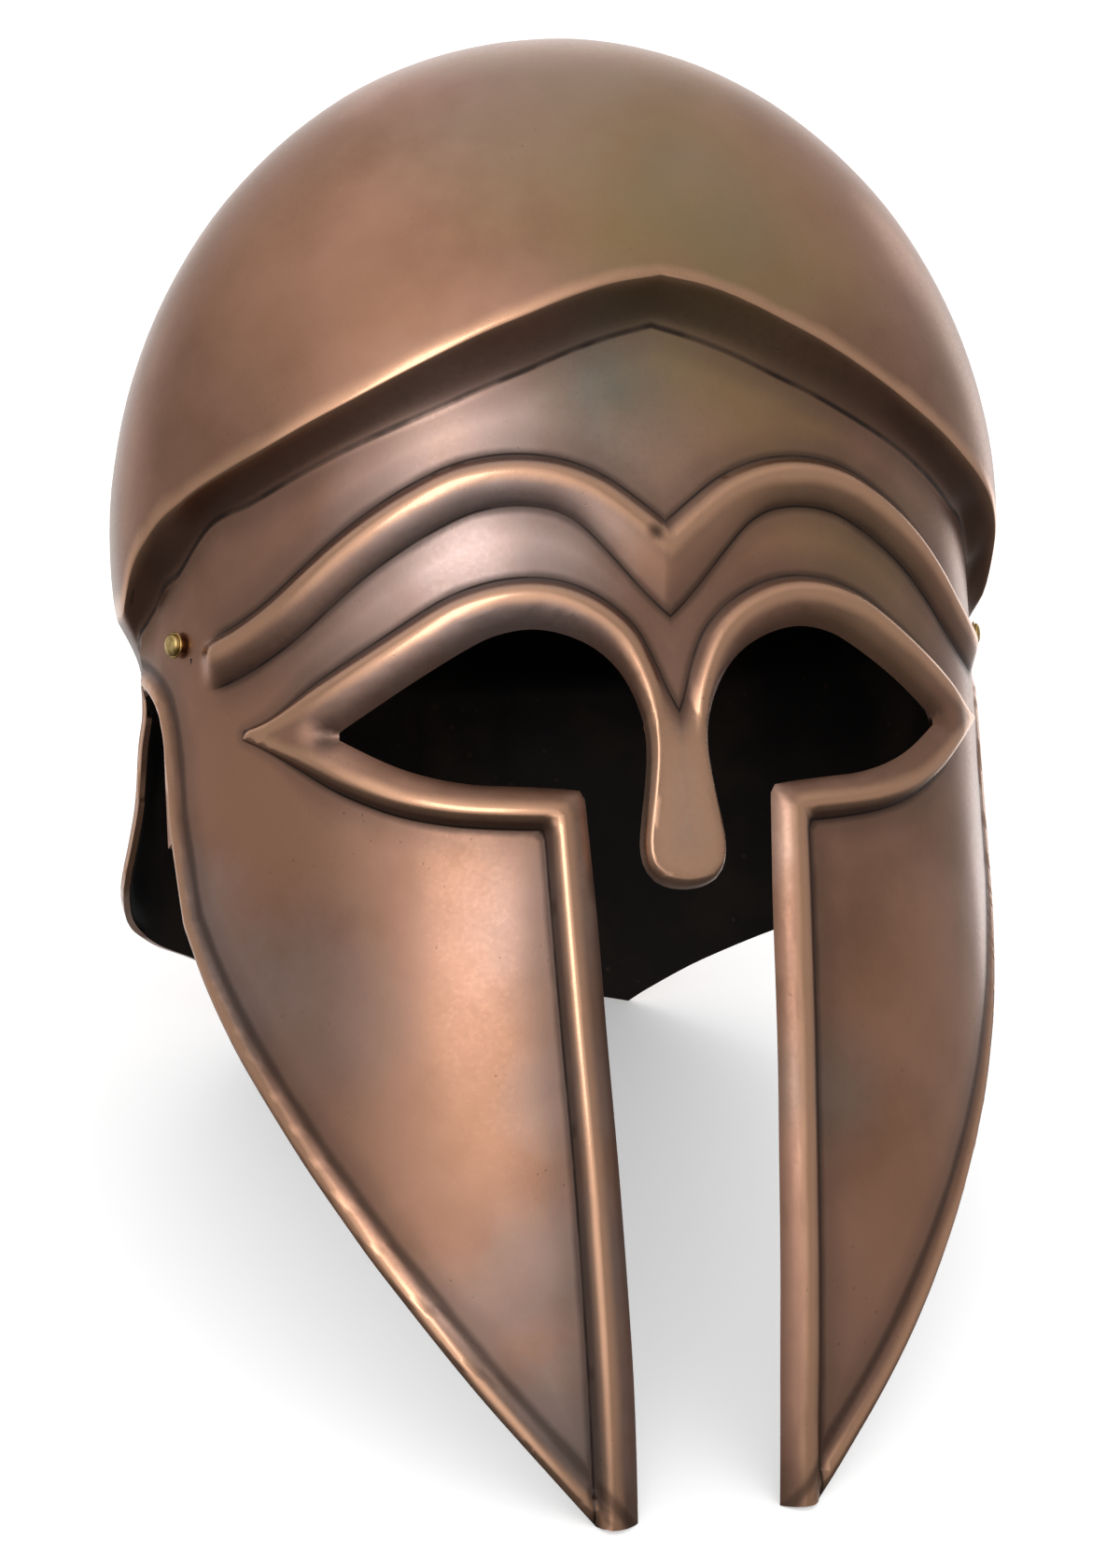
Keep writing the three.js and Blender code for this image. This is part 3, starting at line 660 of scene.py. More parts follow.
chart = read_points(sheet)
arc, down = chart[:, 0], chart[:, 1]
at = fields(arc, down)
height = relief(arc, down, at)
shaped = skin(arc, down)
chart_z = shaped[:, 2].copy()
out = outward(arc, down)
side = np.sign(arc) + (arc == 0)
out[:, 0] *= side
shaped[:, 0] *= side
out[arc == 0, 0] = 0
unevenness = [
    noise.noise(Vector(p) / HAMMER_REACH) + 0.35 * noise.noise(Vector(p) / HAMMER_DETAIL) for p in shaped
]
shaped += out * (height + HAMMER_DEPTH * (np.array(unevenness) - 0.8))[:, None]
write_points(sheet, shaped)
print("highest relief:", round(float(height.max()), 2), "mm")

# %% [markdown]
# The chart's two ends meet behind and its top row is the crown, so doubled points are merged. Then the sheet
# leans back by its rest angle and is set down with its lowest points on the floor, centred as the solids are.

# %% Close the seam and lean the helmet back
MEASURED = ("crest", "brow", "score", "edge", "opening")
ATTRIBUTE_LIMIT = 60
NOSE_PAINT_LEVELS = (0.63, 0.7)
NOSE_PAINT_FALL = 0.8
BROW_PAINT_END = (0.865, 0.9)
DOME_REACH = 130
SEAM_MERGE = 0.2

lean = Matrix.Rotation(-REST_TILT, 4, "X")


def store(obj, name, values):
    """Keeps a value for each point, which the finish reads as an attribute."""
    layer = obj.data.attributes.new(name, "FLOAT", "POINT")
    layer.data.foreach_set("value", np.ascontiguousarray(values, np.float32))


place = skin(arc, down)
share, level = np.abs(place[:, 0]) / FACE_HALF_WIDTH, place[:, 2] / FACE_HEIGHT
nose_plate = (1 - soft_step(*NOSE_PAINT_LEVELS, level)) * (1 - soft_step(*HOLLOW_SHARES, share))
at["crest"] = np.where(at["crest"] > 0, at["crest"] * (1 - NOSE_PAINT_FALL * nose_plate), at["crest"])
for name in MEASURED:
    store(sheet, name + "_mm", np.clip(at[name], -ATTRIBUTE_LIMIT, ATTRIBUTE_LIMIT))
store(sheet, "brow_share", 1 - soft_step(*BROW_PAINT_END, share))
ridge_z, crease_z = levels(np.abs(arc))
store(sheet, "band", np.clip(down - 1, 0, 1))
store(sheet, "ridge_mm", np.where(down < 1, (1 - down) * DOME_REACH, (down - 1) * (ridge_z - crease_z)))
store(sheet, "crease_mm", np.where(down < 2, (2 - down) * (ridge_z - crease_z), crease_z - chart_z))
points = np.array([lean @ Vector(p) for p in shaped]) * MM
shift = Vector((0, -(points[:, 1].min() + points[:, 1].max()) / 2, TIP_DROP * math.cos(REST_TILT) * MM))
points += np.array(shift)
write_points(sheet, points)
select_all_in_edit(sheet)
bpy.ops.mesh.remove_doubles(threshold=SEAM_MERGE * MM)
bpy.ops.mesh.normals_make_consistent(inside=False)
bpy.ops.object.mode_set(mode="OBJECT")
print("shift of the upright helmet in mm:", [round(v / MM, 2) for v in shift])

# %% Give the sheet its thickness, flatten what sinks below the floor and smooth its shading
SHELL_SMOOTH = math.radians(66)

wall = sheet.modifiers.new("wall", "SOLIDIFY")
wall.thickness = WALL * MM
wall.offset = -1
wall.use_quality_normals = True
wall.material_offset = 1
wall.material_offset_rim = 0
bpy.context.view_layer.objects.active = sheet
for slot in range(2):
    bpy.ops.object.material_slot_add()
bpy.ops.object.modifier_apply(modifier=wall.name)
points = read_points(sheet)
points[:, 2] = np.maximum(points[:, 2], 0)
write_points(sheet, points)
select_all_in_edit(sheet)
bpy.ops.mesh.select_all(action="DESELECT")
bpy.ops.mesh.select_face_by_sides(number=4, type="GREATER")
bpy.ops.mesh.quads_convert_to_tris()
bpy.ops.object.mode_set(mode="OBJECT")
bpy.ops.object.shade_smooth_by_angle(angle=SHELL_SMOOTH)
triangles = sum(len(p.vertices) - 2 for p in sheet.data.polygons)
print("triangles of the shell:", triangles)

# %% [markdown]
# A brass rivet sits in each temple. The real one is a cap on a thin flange, which stands a little off the
# sheet on its shank, and its tail is clenched inside. A disc is drawn out ring by ring along its axis, as a
# turner would read the profile, and the finished rivet is then stood on the sheet, square to it.

# %% Brass rivets
RIVET_SHARE = 0.947
RIVET_LEVEL = 0.7228
RIVET_HEAD = 3.0
RIVET_SIDES = 36
RIVET_SMOOTH = math.radians(40)

# Radius and height of each ring from tail to crown, as shares of the head's radius
RIVET_PROFILE = [
    (0.35, -1.06), (0.7, -0.98), (0.86, -0.8), (0.86, -0.62), (0.54, -0.58), (0.54, 0.16), (0.62, 0.2),
    (0.94, 0.22), (1, 0.27), (1, 0.34), (0.95, 0.39), (0.8, 0.4), (0.78, 0.43), (0.84, 0.47), (0.84, 0.56),
    (0.79, 0.65), (0.68, 0.73), (0.52, 0.79), (0.32, 0.83), (0.12, 0.85),
]


def chart_place(share, level):
    """Chart place of a share of the half width and a share of the height."""
    arc = float(arc_at(share))
    crease_z = float(levels(np.array([arc]))[1][0])
    return arc, 2 + (crease_z - level * FACE_HEIGHT) / (crease_z - FLOOR_Z)


def on_chart(arc, down, side=1):
    """Point in metres and outward direction on the leaning helmet. Side -1 is the wearer's right."""
    arc, down = np.array([float(arc)]), np.array([float(down)])
    flip = np.array([side, 1, 1])
    point = Vector(skin(arc, down)[0] * flip)
    out = Vector(outward(arc, down)[0] * flip)
    return (lean @ point) * MM + shift, (lean @ out).normalized()


def on_helmet(share, level):
    """The same for shares of the half width and height. A share below zero is the right side."""
    return on_chart(*chart_place(abs(share), level), -1 if share < 0 else 1)


def facing(point, direction, axis="Z"):
    """A matrix that stands something at a point, with one of its axes along a direction."""
    return Matrix.Translation(point) @ direction.to_track_quat(axis, "Y").to_matrix().to_4x4()


rivets = []
for name, side in (("rivet_right", -1), ("rivet_left", 1)):
    radius, level = RIVET_PROFILE[0]
    bpy.ops.object.select_all(action="DESELECT")
    bpy.ops.mesh.primitive_circle_add(
        vertices=RIVET_SIDES, radius=radius * RIVET_HEAD * MM, fill_type="NGON",
        location=(0, 0, level * RIVET_HEAD * MM),
    )
    rivet = bpy.context.object
    bpy.ops.object.transform_apply(location=True, rotation=True, scale=True)
    select_all_in_edit(rivet)
    for next_radius, next_level in RIVET_PROFILE[1:]:
        rise = (next_level - level) * RIVET_HEAD * MM
        bpy.ops.mesh.extrude_region_move(TRANSFORM_OT_translate={"value": (0, 0, rise)})
        grow = next_radius / radius
        bpy.ops.transform.resize(value=(grow, grow, 1), center_override=(0, 0, 0))
        radius, level = next_radius, next_level
    bpy.ops.mesh.select_all(action="SELECT")
    bpy.ops.mesh.normals_make_consistent(inside=False)
    bpy.ops.object.mode_set(mode="OBJECT")
    rivet.name = name + "_cap"
    point, out = on_helmet(side * RIVET_SHARE, RIVET_LEVEL)
    rivet.data.transform(facing(point, out))
    bpy.ops.object.shade_smooth_by_angle(angle=RIVET_SMOOTH)
    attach(rivet, "root")
    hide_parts(name)
    rivets.append(rivet)
print("rivets:", [r.name for r in rivets])

# %% [markdown]
# The finish is copper-bronze that was darkened all over and then rubbed back: bright copper is left on every
# edge and crest, brown oxide in the creases, and thin stains of blue, green and gold on the plates. Painted
# shade darkens the creases, the undercut and the way into each opening, and pale spots paint sheen and
# highlights on the lit plates. The sheet carries its distances from the crests and openings as attributes, so
# wear, dirt and painted shade can follow them.

# %% Helpers for nodes
def feed(tree, socket, value):
    """Links a socket to another one, or gives it a value."""
    if isinstance(value, bpy.types.NodeSocket):
        tree.links.new(value, socket)
    else:
        socket.default_value = value


def put(tree, kind, **values):
    """A new node. Each value is one of its settings or, with spaces for underscores, of its inputs."""
    made = tree.nodes.new("ShaderNode" + kind)
    for name, value in values.items():
        if hasattr(made, name):
            setattr(made, name, value)
        else:
            feed(tree, made.inputs[name.replace("_", " ")], value)
    return made


def calc(tree, operation, *values, clamp=False):
    """A Math node's output, from sockets or numbers."""
    made = put(tree, "Math", operation=operation, use_clamp=clamp)
    for socket, value in zip(made.inputs, values):
        feed(tree, socket, value)
    return made.outputs[0]


def times(tree, first, second):
    return calc(tree, "MULTIPLY", first, second)


def fade(tree, value, low, high, start=0.0, end=1.0):
    """A soft step of a value from start to end."""
    return put(
        tree, "MapRange", interpolation_type="SMOOTHSTEP", Value=value, From_Min=low, From_Max=high,
        To_Min=start, To_Max=end,
    ).outputs[0]


def blend(tree, share, first, second):
    """A mix of two colours, each a socket or a tuple."""
    made = put(tree, "Mix", data_type="RGBA")
    for place, value in ((0, share), (6, first), (7, second)):
        feed(tree, made.inputs[place], (*value, 1) if isinstance(value, tuple) else value)
    return made.outputs[2]


def attribute(tree, name):
    return put(tree, "Attribute", attribute_name=name).outputs["Fac"]


def grain(tree, place, scale, detail, roughness=0.5):
    """A noise texture's value."""
    made = put(tree, "TexNoise", Vector=place, Scale=scale, Detail=detail, Roughness=roughness)
    return made.outputs[0]


def new_group(name, inputs, outputs):
    """A node group with named inputs, given as name, kind and value, and named outputs."""
    tree = bpy.data.node_groups.new(name, "ShaderNodeTree")
    for title, kind, value in inputs:
        socket = tree.interface.new_socket(title, in_out="INPUT", socket_type="NodeSocket" + kind)
        if value is not None:
            socket.default_value = value
    for title, kind in outputs:
        tree.interface.new_socket(title, in_out="OUTPUT", socket_type="NodeSocket" + kind)
    return tree, tree.nodes.new("NodeGroupInput").outputs, tree.nodes.new("NodeGroupOutput").inputs


def use(tree, group, **values):
    """The outputs of a group placed in a tree."""
    return put(tree, "Group", node_tree=group, **values).outputs


def new_material(name):
    """A material, its tree, its shader and the place on the object."""
    made = bpy.data.materials.new(name)
    made.use_nodes = True
    tree = made.node_tree
    return made, tree, tree.nodes["Principled BSDF"], put(tree, "TexCoord").outputs["Object"]


def set_inputs(node, values):
    for name, value in values.items():
        node.inputs[name].default_value = value


def connect(tree, shader, colour, rough, height, strength, depth):
    """Gives a shader its colour and roughness, and a bump of some strength and depth in metres."""
    bump = put(tree, "Bump", Strength=strength, Distance=depth, Height=height)
    for name, socket in (("Base Color", colour), ("Roughness", rough), ("Normal", bump.outputs[0])):
        tree.links.new(socket, shader.inputs[name])


# %% [markdown]
# Three effects are worked out once and used many times. Brushing leaves fine streaks that run down the
# helmet. Pits are tiny dark specks. A stain has a place, a size and a ragged border, and the same spot also
# paints sheen and highlights.

# %% Groups for brushing, pits and stains
brushing, given, result = new_group(
    "brushing", [("Place", "Vector", None), ("Fineness", "Float", 1500.0)], [("Streaks", "Float")]
)
stretched = put(brushing, "Mapping", Vector=given["Place"], Scale=(1, 0.6, 0.06))
stretched.inputs["Rotation"].default_value = (REST_TILT, 0, 0)
streaks = grain(brushing, stretched.outputs[0], given["Fineness"], 3.0, 0.6)
brushing.links.new(streaks, result["Streaks"])

pitting, given, result = new_group(
    "pitting", [("Place", "Vector", None), ("Scale", "Float", 260.0), ("Size", "Float", 0.12)],
    [("Pits", "Float")],
)
cells = put(pitting, "TexVoronoi", Vector=given["Place"], Scale=given["Scale"])
patchy = grain(pitting, given["Place"], 45.0, 2.0)
reach = times(pitting, given["Size"], fade(pitting, patchy, 0.42, 0.7, 0.15, 1.0))
pit = calc(pitting, "SUBTRACT", 1.0, calc(pitting, "DIVIDE", cells.outputs["Distance"], reach), clamp=True)
pitting.links.new(pit, result["Pits"])

staining, given, result = new_group(
    "staining",
    [
        ("Place", "Vector", None), ("Centre", "Vector", None), ("Radius", "Float", 0.03),
        ("Ragged", "Float", 0.8),
    ],
    [("Stain", "Float")],
)
wander = grain(staining, given["Place"], 26.0, 6.0, 0.62)
away = put(staining, "VectorMath", operation="DISTANCE")
staining.links.new(given["Place"], away.inputs[0])
staining.links.new(given["Centre"], away.inputs[1])
far_share = calc(staining, "DIVIDE", away.outputs["Value"], given["Radius"])
shake = times(staining, calc(staining, "SUBTRACT", wander, 0.5), given["Ragged"])
border = calc(staining, "ADD", far_share, times(staining, shake, 2.0))
staining.links.new(fade(staining, border, 0.15, 1.15, 1.0, 0.0), result["Stain"])
print("node groups:", [g.name for g in bpy.data.node_groups])

# %% Colours of the metal
COPPER = (0.8, 0.445, 0.275)
RUBBED_BROWN = (0.46, 0.245, 0.168)
OXIDE_BROWN = (0.31, 0.156, 0.095)
# Near black of the oxide and painted shade in the creases, and of fine lines, pits and nicks
CREASE_DARK = (0.035, 0.022, 0.018)
# Brown of the painted shade round the creases, the brow and the edge bead
SHADE_BROWN = (0.13, 0.085, 0.068)
BLUE_GREY = (0.33, 0.29, 0.28)
GREEN_GREY = (0.22, 0.25, 0.215)
OLIVE_GOLD = (0.37, 0.25, 0.115)
ORANGE_BROWN = (0.55, 0.275, 0.165)
# Pale rose-grey, part stain and part painted sheen on the plates that face the boxes
ROSE_GREY_STAIN_AND_SHEEN = (0.5, 0.375, 0.345)
# Pink of the nose plate, lightened into a painted highlight where it faces the front box
NOSE_PINK_AND_HIGHLIGHT = (0.85, 0.57, 0.44)

# Stains and spots of painted sheen, by place as shares of half width and height, then radius in mm, colour
# and strength
STAINS_AND_SHEEN = [
    (-0.09, 0.945, 30, GREEN_GREY, 0.75),
    (0.16, 0.92, 36, OLIVE_GOLD, 0.7),
    (0.02, 0.875, 22, ROSE_GREY_STAIN_AND_SHEEN, 0.4),
    (-0.52, 0.33, 42, ORANGE_BROWN, 0.3),
    (-0.3, 0.5, 24, ROSE_GREY_STAIN_AND_SHEEN, 0.3),
    (-0.27, 0.36, 18, BLUE_GREY, 0.35),
    (-0.27, 0.22, 24, BLUE_GREY, 0.45),
    (-0.3, 0.07, 22, BLUE_GREY, 0.6),
    (-0.8, 0.56, 24, ORANGE_BROWN, 0.5),
    (-0.74, 0.42, 26, BLUE_GREY, 0.3),
    (-0.5, 0.16, 20, BLUE_GREY, 0.3),
    (-0.4, 0.87, 38, ROSE_GREY_STAIN_AND_SHEEN, 0.9),
    (-0.3, 0.76, 24, ROSE_GREY_STAIN_AND_SHEEN, 0.6),
    (0.5, 0.22, 32, ORANGE_BROWN, 0.55),
    (0.55, 0.4, 34, ORANGE_BROWN, 0.5),
    (0, 0.57, 26, NOSE_PINK_AND_HIGHLIGHT, 1.0),
    (0.3, 0.35, 18, GREEN_GREY, 0.35),
    (0.12, 0.86, 34, ORANGE_BROWN, 0.45),
    (-0.6, 0.72, 26, ROSE_GREY_STAIN_AND_SHEEN, 0.5),
    (0.5, 0.78, 26, OLIVE_GOLD, 0.4),
    (-0.87, 0.62, 26, ORANGE_BROWN, 0.5),
    (-0.96, 0.42, 34, ROSE_GREY_STAIN_AND_SHEEN, 0.8),
    (0.93, 0.5, 34, ROSE_GREY_STAIN_AND_SHEEN, 0.45),
]

# Small dark nicks by shares of half width and height, then radius in mm
NICKS = [(-0.03, 0.822, 2.6), (-0.1, 0.688, 2.2), (0.072, 0.662, 2.2), (-0.69, 0.651, 5.0)]

# Stains, painted sheen and a painted highlight on the dome, by millimetres round and share down from the
# crown, then as above
DOME_STAINS_AND_HIGHLIGHTS = [
    (0, 0.72, 58, OLIVE_GOLD, 0.7),
    (34, 0.88, 40, OLIVE_GOLD, 0.6),
    (20, 0.8, 24, GREEN_GREY, 0.25),
    (-72, 0.86, 46, ORANGE_BROWN, 0.5),
    (-40, 0.45, 44, ROSE_GREY_STAIN_AND_SHEEN, 0.3),
    (70, 0.6, 44, ORANGE_BROWN, 0.4),
    # A painted highlight along the ridge's apex
    (0, 0.97, 26, OLIVE_GOLD, 0.5),
]

# %% [markdown]
# The aged bronze is one Principled shader. Noise mixes two browns, stains tint them and pale spots paint
# sheen and highlights, crests and edges are rubbed back to copper, and the creases are dark with oxide.
# Painted shade darkens the plates round the creases, the undercut and the way into each opening.

# %% Aged bronze
# Reaches in mm and strengths of the rubbed wear, of the painted shade round the creases, and of the oxide and
# painted shade in them
SHADE_REACH = 9.0
SCORE_SHADE_REACH = 8.0
RUB_REACH = 3.0
GLOOM_REACH = 2.0
SCORE_GLOOM_REACH = 2.2
LINE_REACH = 0.42
CREASE_REACH = 0.9
SHADE_STRENGTH = 0.36
RUB_STRENGTH = 0.8
GLOOM_STRENGTH = 0.62
NICK_STRENGTH = 0.8
RAGGED_SHARE = 0.22
CORE_SHARE = 0.15
PLAIN_ROUGHNESS = 0.27

bronze, tree, shader, place = new_material("aged_bronze")
cloud = grain(tree, place, 21.0, 4.0, 0.55)
speck = grain(tree, place, 900.0, 3.0, 0.7)
tremble = grain(tree, place, 90.0, 3.0)
shiver = times(tree, calc(tree, "SUBTRACT", tremble, 0.5), 2.4)
streaks = use(tree, brushing, Place=place)["Streaks"]
pits = use(tree, pitting, Place=place)["Pits"]

crest, brow, score, edge, opening_at, ridge_mm, crease_mm = (
    attribute(tree, name + "_mm") for name in (*MEASURED, "ridge", "crease")
)
brow_share, band_share = attribute(tree, "brow_share"), attribute(tree, "band")


def near_line(value, middle, reach, ragged=True):
    """A mask that is 1 on a line and fades out over reach millimetres on both sides."""
    off = calc(tree, "ABSOLUTE", calc(tree, "SUBTRACT", value, middle))
    if ragged:
        off = calc(tree, "ADD", off, times(tree, shiver, RAGGED_SHARE * reach))
    return fade(tree, off, CORE_SHARE * reach, reach, 1.0, 0.0)


def any_of(*masks):
    made = masks[0]
    for mask in masks[1:]:
        made = calc(tree, "MAXIMUM", made, mask)
    return made


colour = blend(tree, fade(tree, cloud, 0.35, 0.68), OXIDE_BROWN, RUBBED_BROWN)
# Stains, with pale rose-grey, pink and gold spots that paint sheen and highlights on the lit plates and the
# ridge's apex
stains = [(on_helmet(share, level)[0], *rest) for share, level, *rest in STAINS_AND_SHEEN]
stains += [(on_chart(abs(arc), down, -1 if arc < 0 else 1)[0], *rest) for arc, down, *rest in DOME_STAINS_AND_HIGHLIGHTS]
for centre, radius, tint, strength in stains:
    stain = use(tree, staining, Place=place, Centre=centre, Radius=radius * MM)["Stain"]
    colour = blend(tree, times(tree, stain, strength), colour, tint)
streaked = times(tree, fade(tree, streaks, 0.35, 0.7), 0.12)
colour = blend(tree, streaked, colour, RUBBED_BROWN)
rubbed = any_of(
    near_line(crest, -0.3, RUB_REACH),
    times(tree, near_line(brow, -0.4, RUB_REACH), brow_share),
    near_line(edge, EDGE_CROWN * EDGE_BEAD, 2.4),
    near_line(ridge_mm, -0.4, 4.6),
)
# Painted shade: a wide soft brown darkening round the creases, the brow, the scored line and the edge bead
brow_shade = any_of(near_line(brow, BROW_FALL, SHADE_REACH), near_line(score, 0.0, SCORE_SHADE_REACH))
shade = any_of(
    near_line(crest, RIM_FALL, SHADE_REACH),
    near_line(crease_mm, 0.0, SHADE_REACH),
    near_line(edge, 1.3 * EDGE_BEAD, SCORE_SHADE_REACH),
    times(tree, brow_shade, brow_share),
)
colour = blend(tree, times(tree, shade, SHADE_STRENGTH), colour, SHADE_BROWN)
colour = blend(tree, times(tree, rubbed, RUB_STRENGTH), colour, COPPER)
# Painted shade on the undercut band below the ridge, which faces down
band = times(tree, fade(tree, band_share, 0.1, 0.45), fade(tree, band_share, 0.995, 1.0, 1.0, 0.0))
brow_gloom = any_of(near_line(brow, BROW_FALL, GLOOM_REACH), near_line(score, 0.0, SCORE_GLOOM_REACH))
# Painted shade on the way into each opening
painted_opening_shade = fade(tree, calc(tree, "ADD", opening_at, shiver), 0.6, 4.5, 1.0, 0.0)
# Dark oxide in the creases, with painted shade there, under the undercut and at the openings
oxide_and_painted_shade = any_of(
    near_line(crest, RIM_FALL, GLOOM_REACH),
    times(tree, brow_gloom, brow_share),
    near_line(edge, 1.25 * EDGE_BEAD, SCORE_GLOOM_REACH),
    times(tree, band, 0.6),
    times(tree, painted_opening_shade, 0.5),
)
colour = blend(tree, times(tree, oxide_and_painted_shade, GLOOM_STRENGTH), colour, CREASE_DARK)
brow_lines = any_of(near_line(brow, BROW_FALL, LINE_REACH, False), near_line(score, 0.0, LINE_REACH, False))
lines = any_of(
    near_line(crest, RIM_FALL, LINE_REACH, False),
    near_line(crease_mm, 0.0, CREASE_REACH, False),
    times(tree, brow_share, brow_lines),
)
lines = times(tree, lines, fade(tree, tremble, 0.38, 0.56, 0.7, 1.0))
marks = any_of(times(tree, lines, 0.95), times(tree, pits, 0.4))
colour = blend(tree, marks, colour, CREASE_DARK)
for share, level, radius in NICKS:
    foot, out = on_helmet(share, level)
    centre = foot + out * RIM_HEIGHT * MM
    nick = use(tree, staining, Place=place, Centre=centre, Radius=radius * MM)["Stain"]
    colour = blend(tree, times(tree, nick, NICK_STRENGTH), colour, CREASE_DARK)
set_inputs(shader, {"Metallic": 1.0, "Coat Weight": 0.2, "Coat Roughness": 0.24})

rough = calc(tree, "ADD", PLAIN_ROUGHNESS, times(tree, fade(tree, speck, 0.3, 0.7), 0.06))
rough = calc(tree, "ADD", rough, times(tree, oxide_and_painted_shade, 0.16))
rough = calc(tree, "SUBTRACT", rough, times(tree, rubbed, 0.1), clamp=True)
height_of = calc(tree, "ADD", times(tree, streaks, 0.1), times(tree, speck, 0.06))
height_of = calc(tree, "ADD", height_of, times(tree, tremble, 0.5))
height_of = calc(tree, "SUBTRACT", height_of, times(tree, marks, 1.2))
connect(tree, shader, colour, rough, height_of, 0.3, 0.0002)

# %% Dark inside
inside_metal, tree, shader, place = new_material("dark_inside")
cloud = grain(tree, place, 30.0, 5.0)
pits = use(tree, pitting, Place=place, Scale=180.0, Size=0.2)["Pits"]
colour = blend(tree, fade(tree, cloud, 0.4, 0.65), (0.012, 0.009, 0.008), (0.03, 0.02, 0.015))
colour = blend(tree, pits, colour, (0.06, 0.035, 0.022))
set_inputs(shader, {"Metallic": 0.7})
connect(tree, shader, colour, fade(tree, cloud, 0.3, 0.7, 0.5, 0.72), cloud, 0.4, 0.0004)

# %% Brass
brass, tree, shader, place = new_material("brass")
cloud = grain(tree, place, 420.0, 4.0)
pits = use(tree, pitting, Place=place, Scale=900.0, Size=0.25)["Pits"]
colour = blend(tree, fade(tree, cloud, 0.4, 0.65), (0.5, 0.34, 0.12), (0.85, 0.62, 0.27))
colour = blend(tree, times(tree, pits, 0.8), colour, (0.06, 0.045, 0.02))
set_inputs(shader, {"Metallic": 1.0})
connect(tree, shader, colour, fade(tree, cloud, 0.3, 0.7, 0.24, 0.4), cloud, 0.25, 0.0001)

sheet.material_slots[0].material = bronze
sheet.material_slots[1].material = inside_metal
for rivet in rivets:
    rivet.data.materials.append(brass)
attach(sheet, "root")
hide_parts("helmet_shell")
print("materials:", [m.name for m in (bronze, inside_metal, brass)])

# %% [markdown]
# The photograph shows the helmet upright, a little from its right and from above. The camera keeps that angle
# to the helmet, so it leans back with it, and stays above the floor.

# %% Camera at the photograph's angle
AZIMUTH = math.radians(-17.2045)
ELEVATION = math.radians(6.1455)
CAMERA_PLACE = Vector((-178.4, -465.97, 211.12))
SENSOR = 36.0
FOCAL_PIXELS = 2600.0
PHOTO_HEIGHT = 1680.0
camera = bpy.data.objects.new("camera", bpy.data.cameras.new("camera"))
bpy.context.collection.objects.link(camera)
camera.data.sensor_width = SENSOR
camera.data.lens = FOCAL_PIXELS * SENSOR / PHOTO_HEIGHT
upright = Matrix.Rotation(AZIMUTH, 4, "Z") @ Matrix.Rotation(math.pi / 2 - ELEVATION, 4, "X")
camera.matrix_world = Matrix.Translation(shift) @ lean @ Matrix.Translation(CAMERA_PLACE * MM) @ upright
bpy.context.scene.camera = camera
print("camera at", [round(v, 3) for v in camera.matrix_world.translation])

# %% [markdown]
# A product photographer lights dark metal with large white boxes and keeps the rest of the room dim, so that
# every fold shows one long highlight. Here one box stands at the front left and a strip at the right. The
# metal sees a soft room round them: a glow round the box, a white backdrop behind, a paler ceiling and
# dimness below. All of it is placed round the upright helmet and leans with it. To the camera the room is
# plain white.

# %% Floor
bpy.ops.mesh.primitive_plane_add(size=12, location=(0, 0, 0))
floor = bpy.context.object
floor.name = "floor"
pale, tree, shader, place = new_material("pale_floor")
set_inputs(shader, {
    "Base Color": (0.85, 0.85, 0.85, 1), "Emission Color": (1, 1, 1, 1), "Emission Strength": 0.3,
    "Roughness": 0.9, "Specular IOR Level": 0.1,
})
floor.data.materials.append(pale)
floor.visible_glossy = False

# %% Softboxes
LIT_POINT = Vector((0, 70, 165))


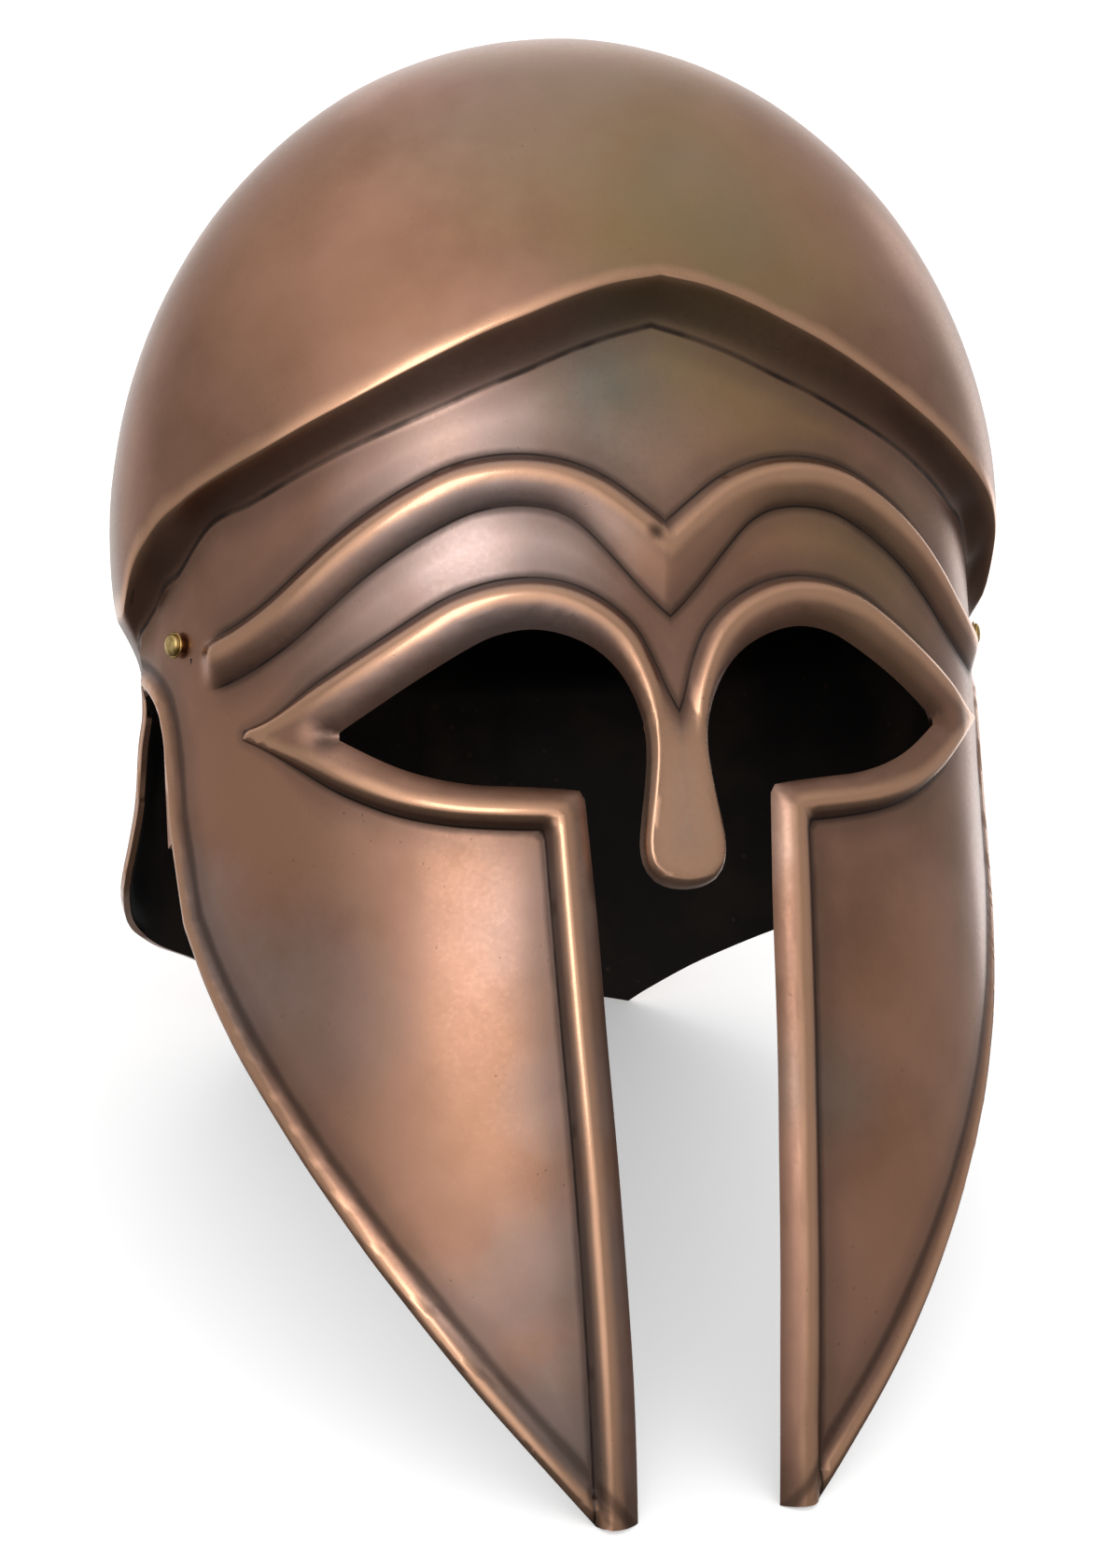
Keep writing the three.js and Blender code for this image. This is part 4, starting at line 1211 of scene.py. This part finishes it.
def softbox(name, azimuth, elevation, away, size, radiance):
    """A white box of light, seen from the helmet at an azimuth and elevation in degrees, size in metres."""
    light = bpy.data.objects.new(name, bpy.data.lights.new(name, "AREA"))
    bpy.context.collection.objects.link(light)
    light.data.shape = "RECTANGLE"
    light.data.size, light.data.size_y = size
    light.data.energy = radiance * math.pi * size[0] * size[1]
    turn, rise = math.radians(azimuth), math.radians(elevation)
    toward = Vector((math.sin(turn) * math.cos(rise), -math.cos(turn) * math.cos(rise), math.sin(rise)))
    middle = (lean @ LIT_POINT) * MM + shift
    start = middle + (lean @ toward) * away
    light.matrix_world = facing(start, middle - start, "-Z")


softbox("front_box", -25, 14, 1.5, (0.62, 0.7), 1.9)
softbox("right_strip", 126, 8, 1.3, (0.3, 1.2), 0.8)

# %% Room
FRONT_GLOW = Vector((-0.42, -0.88, 0.2)).normalized()
SEEN_WHITE = 1.12
PLAIN_GREY = 0.4

world = bpy.data.worlds.new("studio")
bpy.context.scene.world = world
world.use_nodes = True
tree = world.node_tree
path = put(tree, "LightPath").outputs
around = put(tree, "TexCoord").outputs["Generated"]
turned = put(tree, "Mapping", vector_type="NORMAL", Vector=around)
turned.inputs["Rotation"].default_value = (REST_TILT, 0, 0)
across, rear, up = put(tree, "SeparateXYZ", Vector=turned.outputs[0]).outputs
glow = put(tree, "VectorMath", operation="DOT_PRODUCT")
tree.links.new(turned.outputs[0], glow.inputs[0])
glow.inputs[1].default_value = FRONT_GLOW
ceiling = fade(tree, up, 0.35, 0.9, 0.0, 0.2)
ceiling = calc(tree, "ADD", ceiling, times(tree, ceiling, fade(tree, across, -0.6, 0.4, 1.2, 0.0)))
backdrop = fade(tree, rear, 0.4, 0.95, 0.0, 0.75)
backdrop = times(tree, backdrop, fade(tree, across, -0.4, 0.3, 0.5, 1.0))
front = fade(tree, glow.outputs["Value"], 0.72, 0.98, 0.0, 0.62)
level = calc(tree, "ADD", calc(tree, "ADD", PLAIN_GREY, ceiling), calc(tree, "ADD", backdrop, front))
level = times(tree, level, fade(tree, up, -0.6, -0.1, 0.3, 1.0))
dim = put(tree, "Background", Color=(1, 1, 1, 1), Strength=level)
bright = put(tree, "Background", Color=(1, 1, 1, 1), Strength=SEEN_WHITE)
for_metal = put(tree, "MixShader")
tree.links.new(path["Is Glossy Ray"], for_metal.inputs[0])
tree.links.new(bright.outputs[0], for_metal.inputs[1])
tree.links.new(dim.outputs[0], for_metal.inputs[2])
tree.links.new(for_metal.outputs[0], tree.nodes["World Output"].inputs["Surface"])
bpy.context.scene.view_settings.view_transform = "Standard"
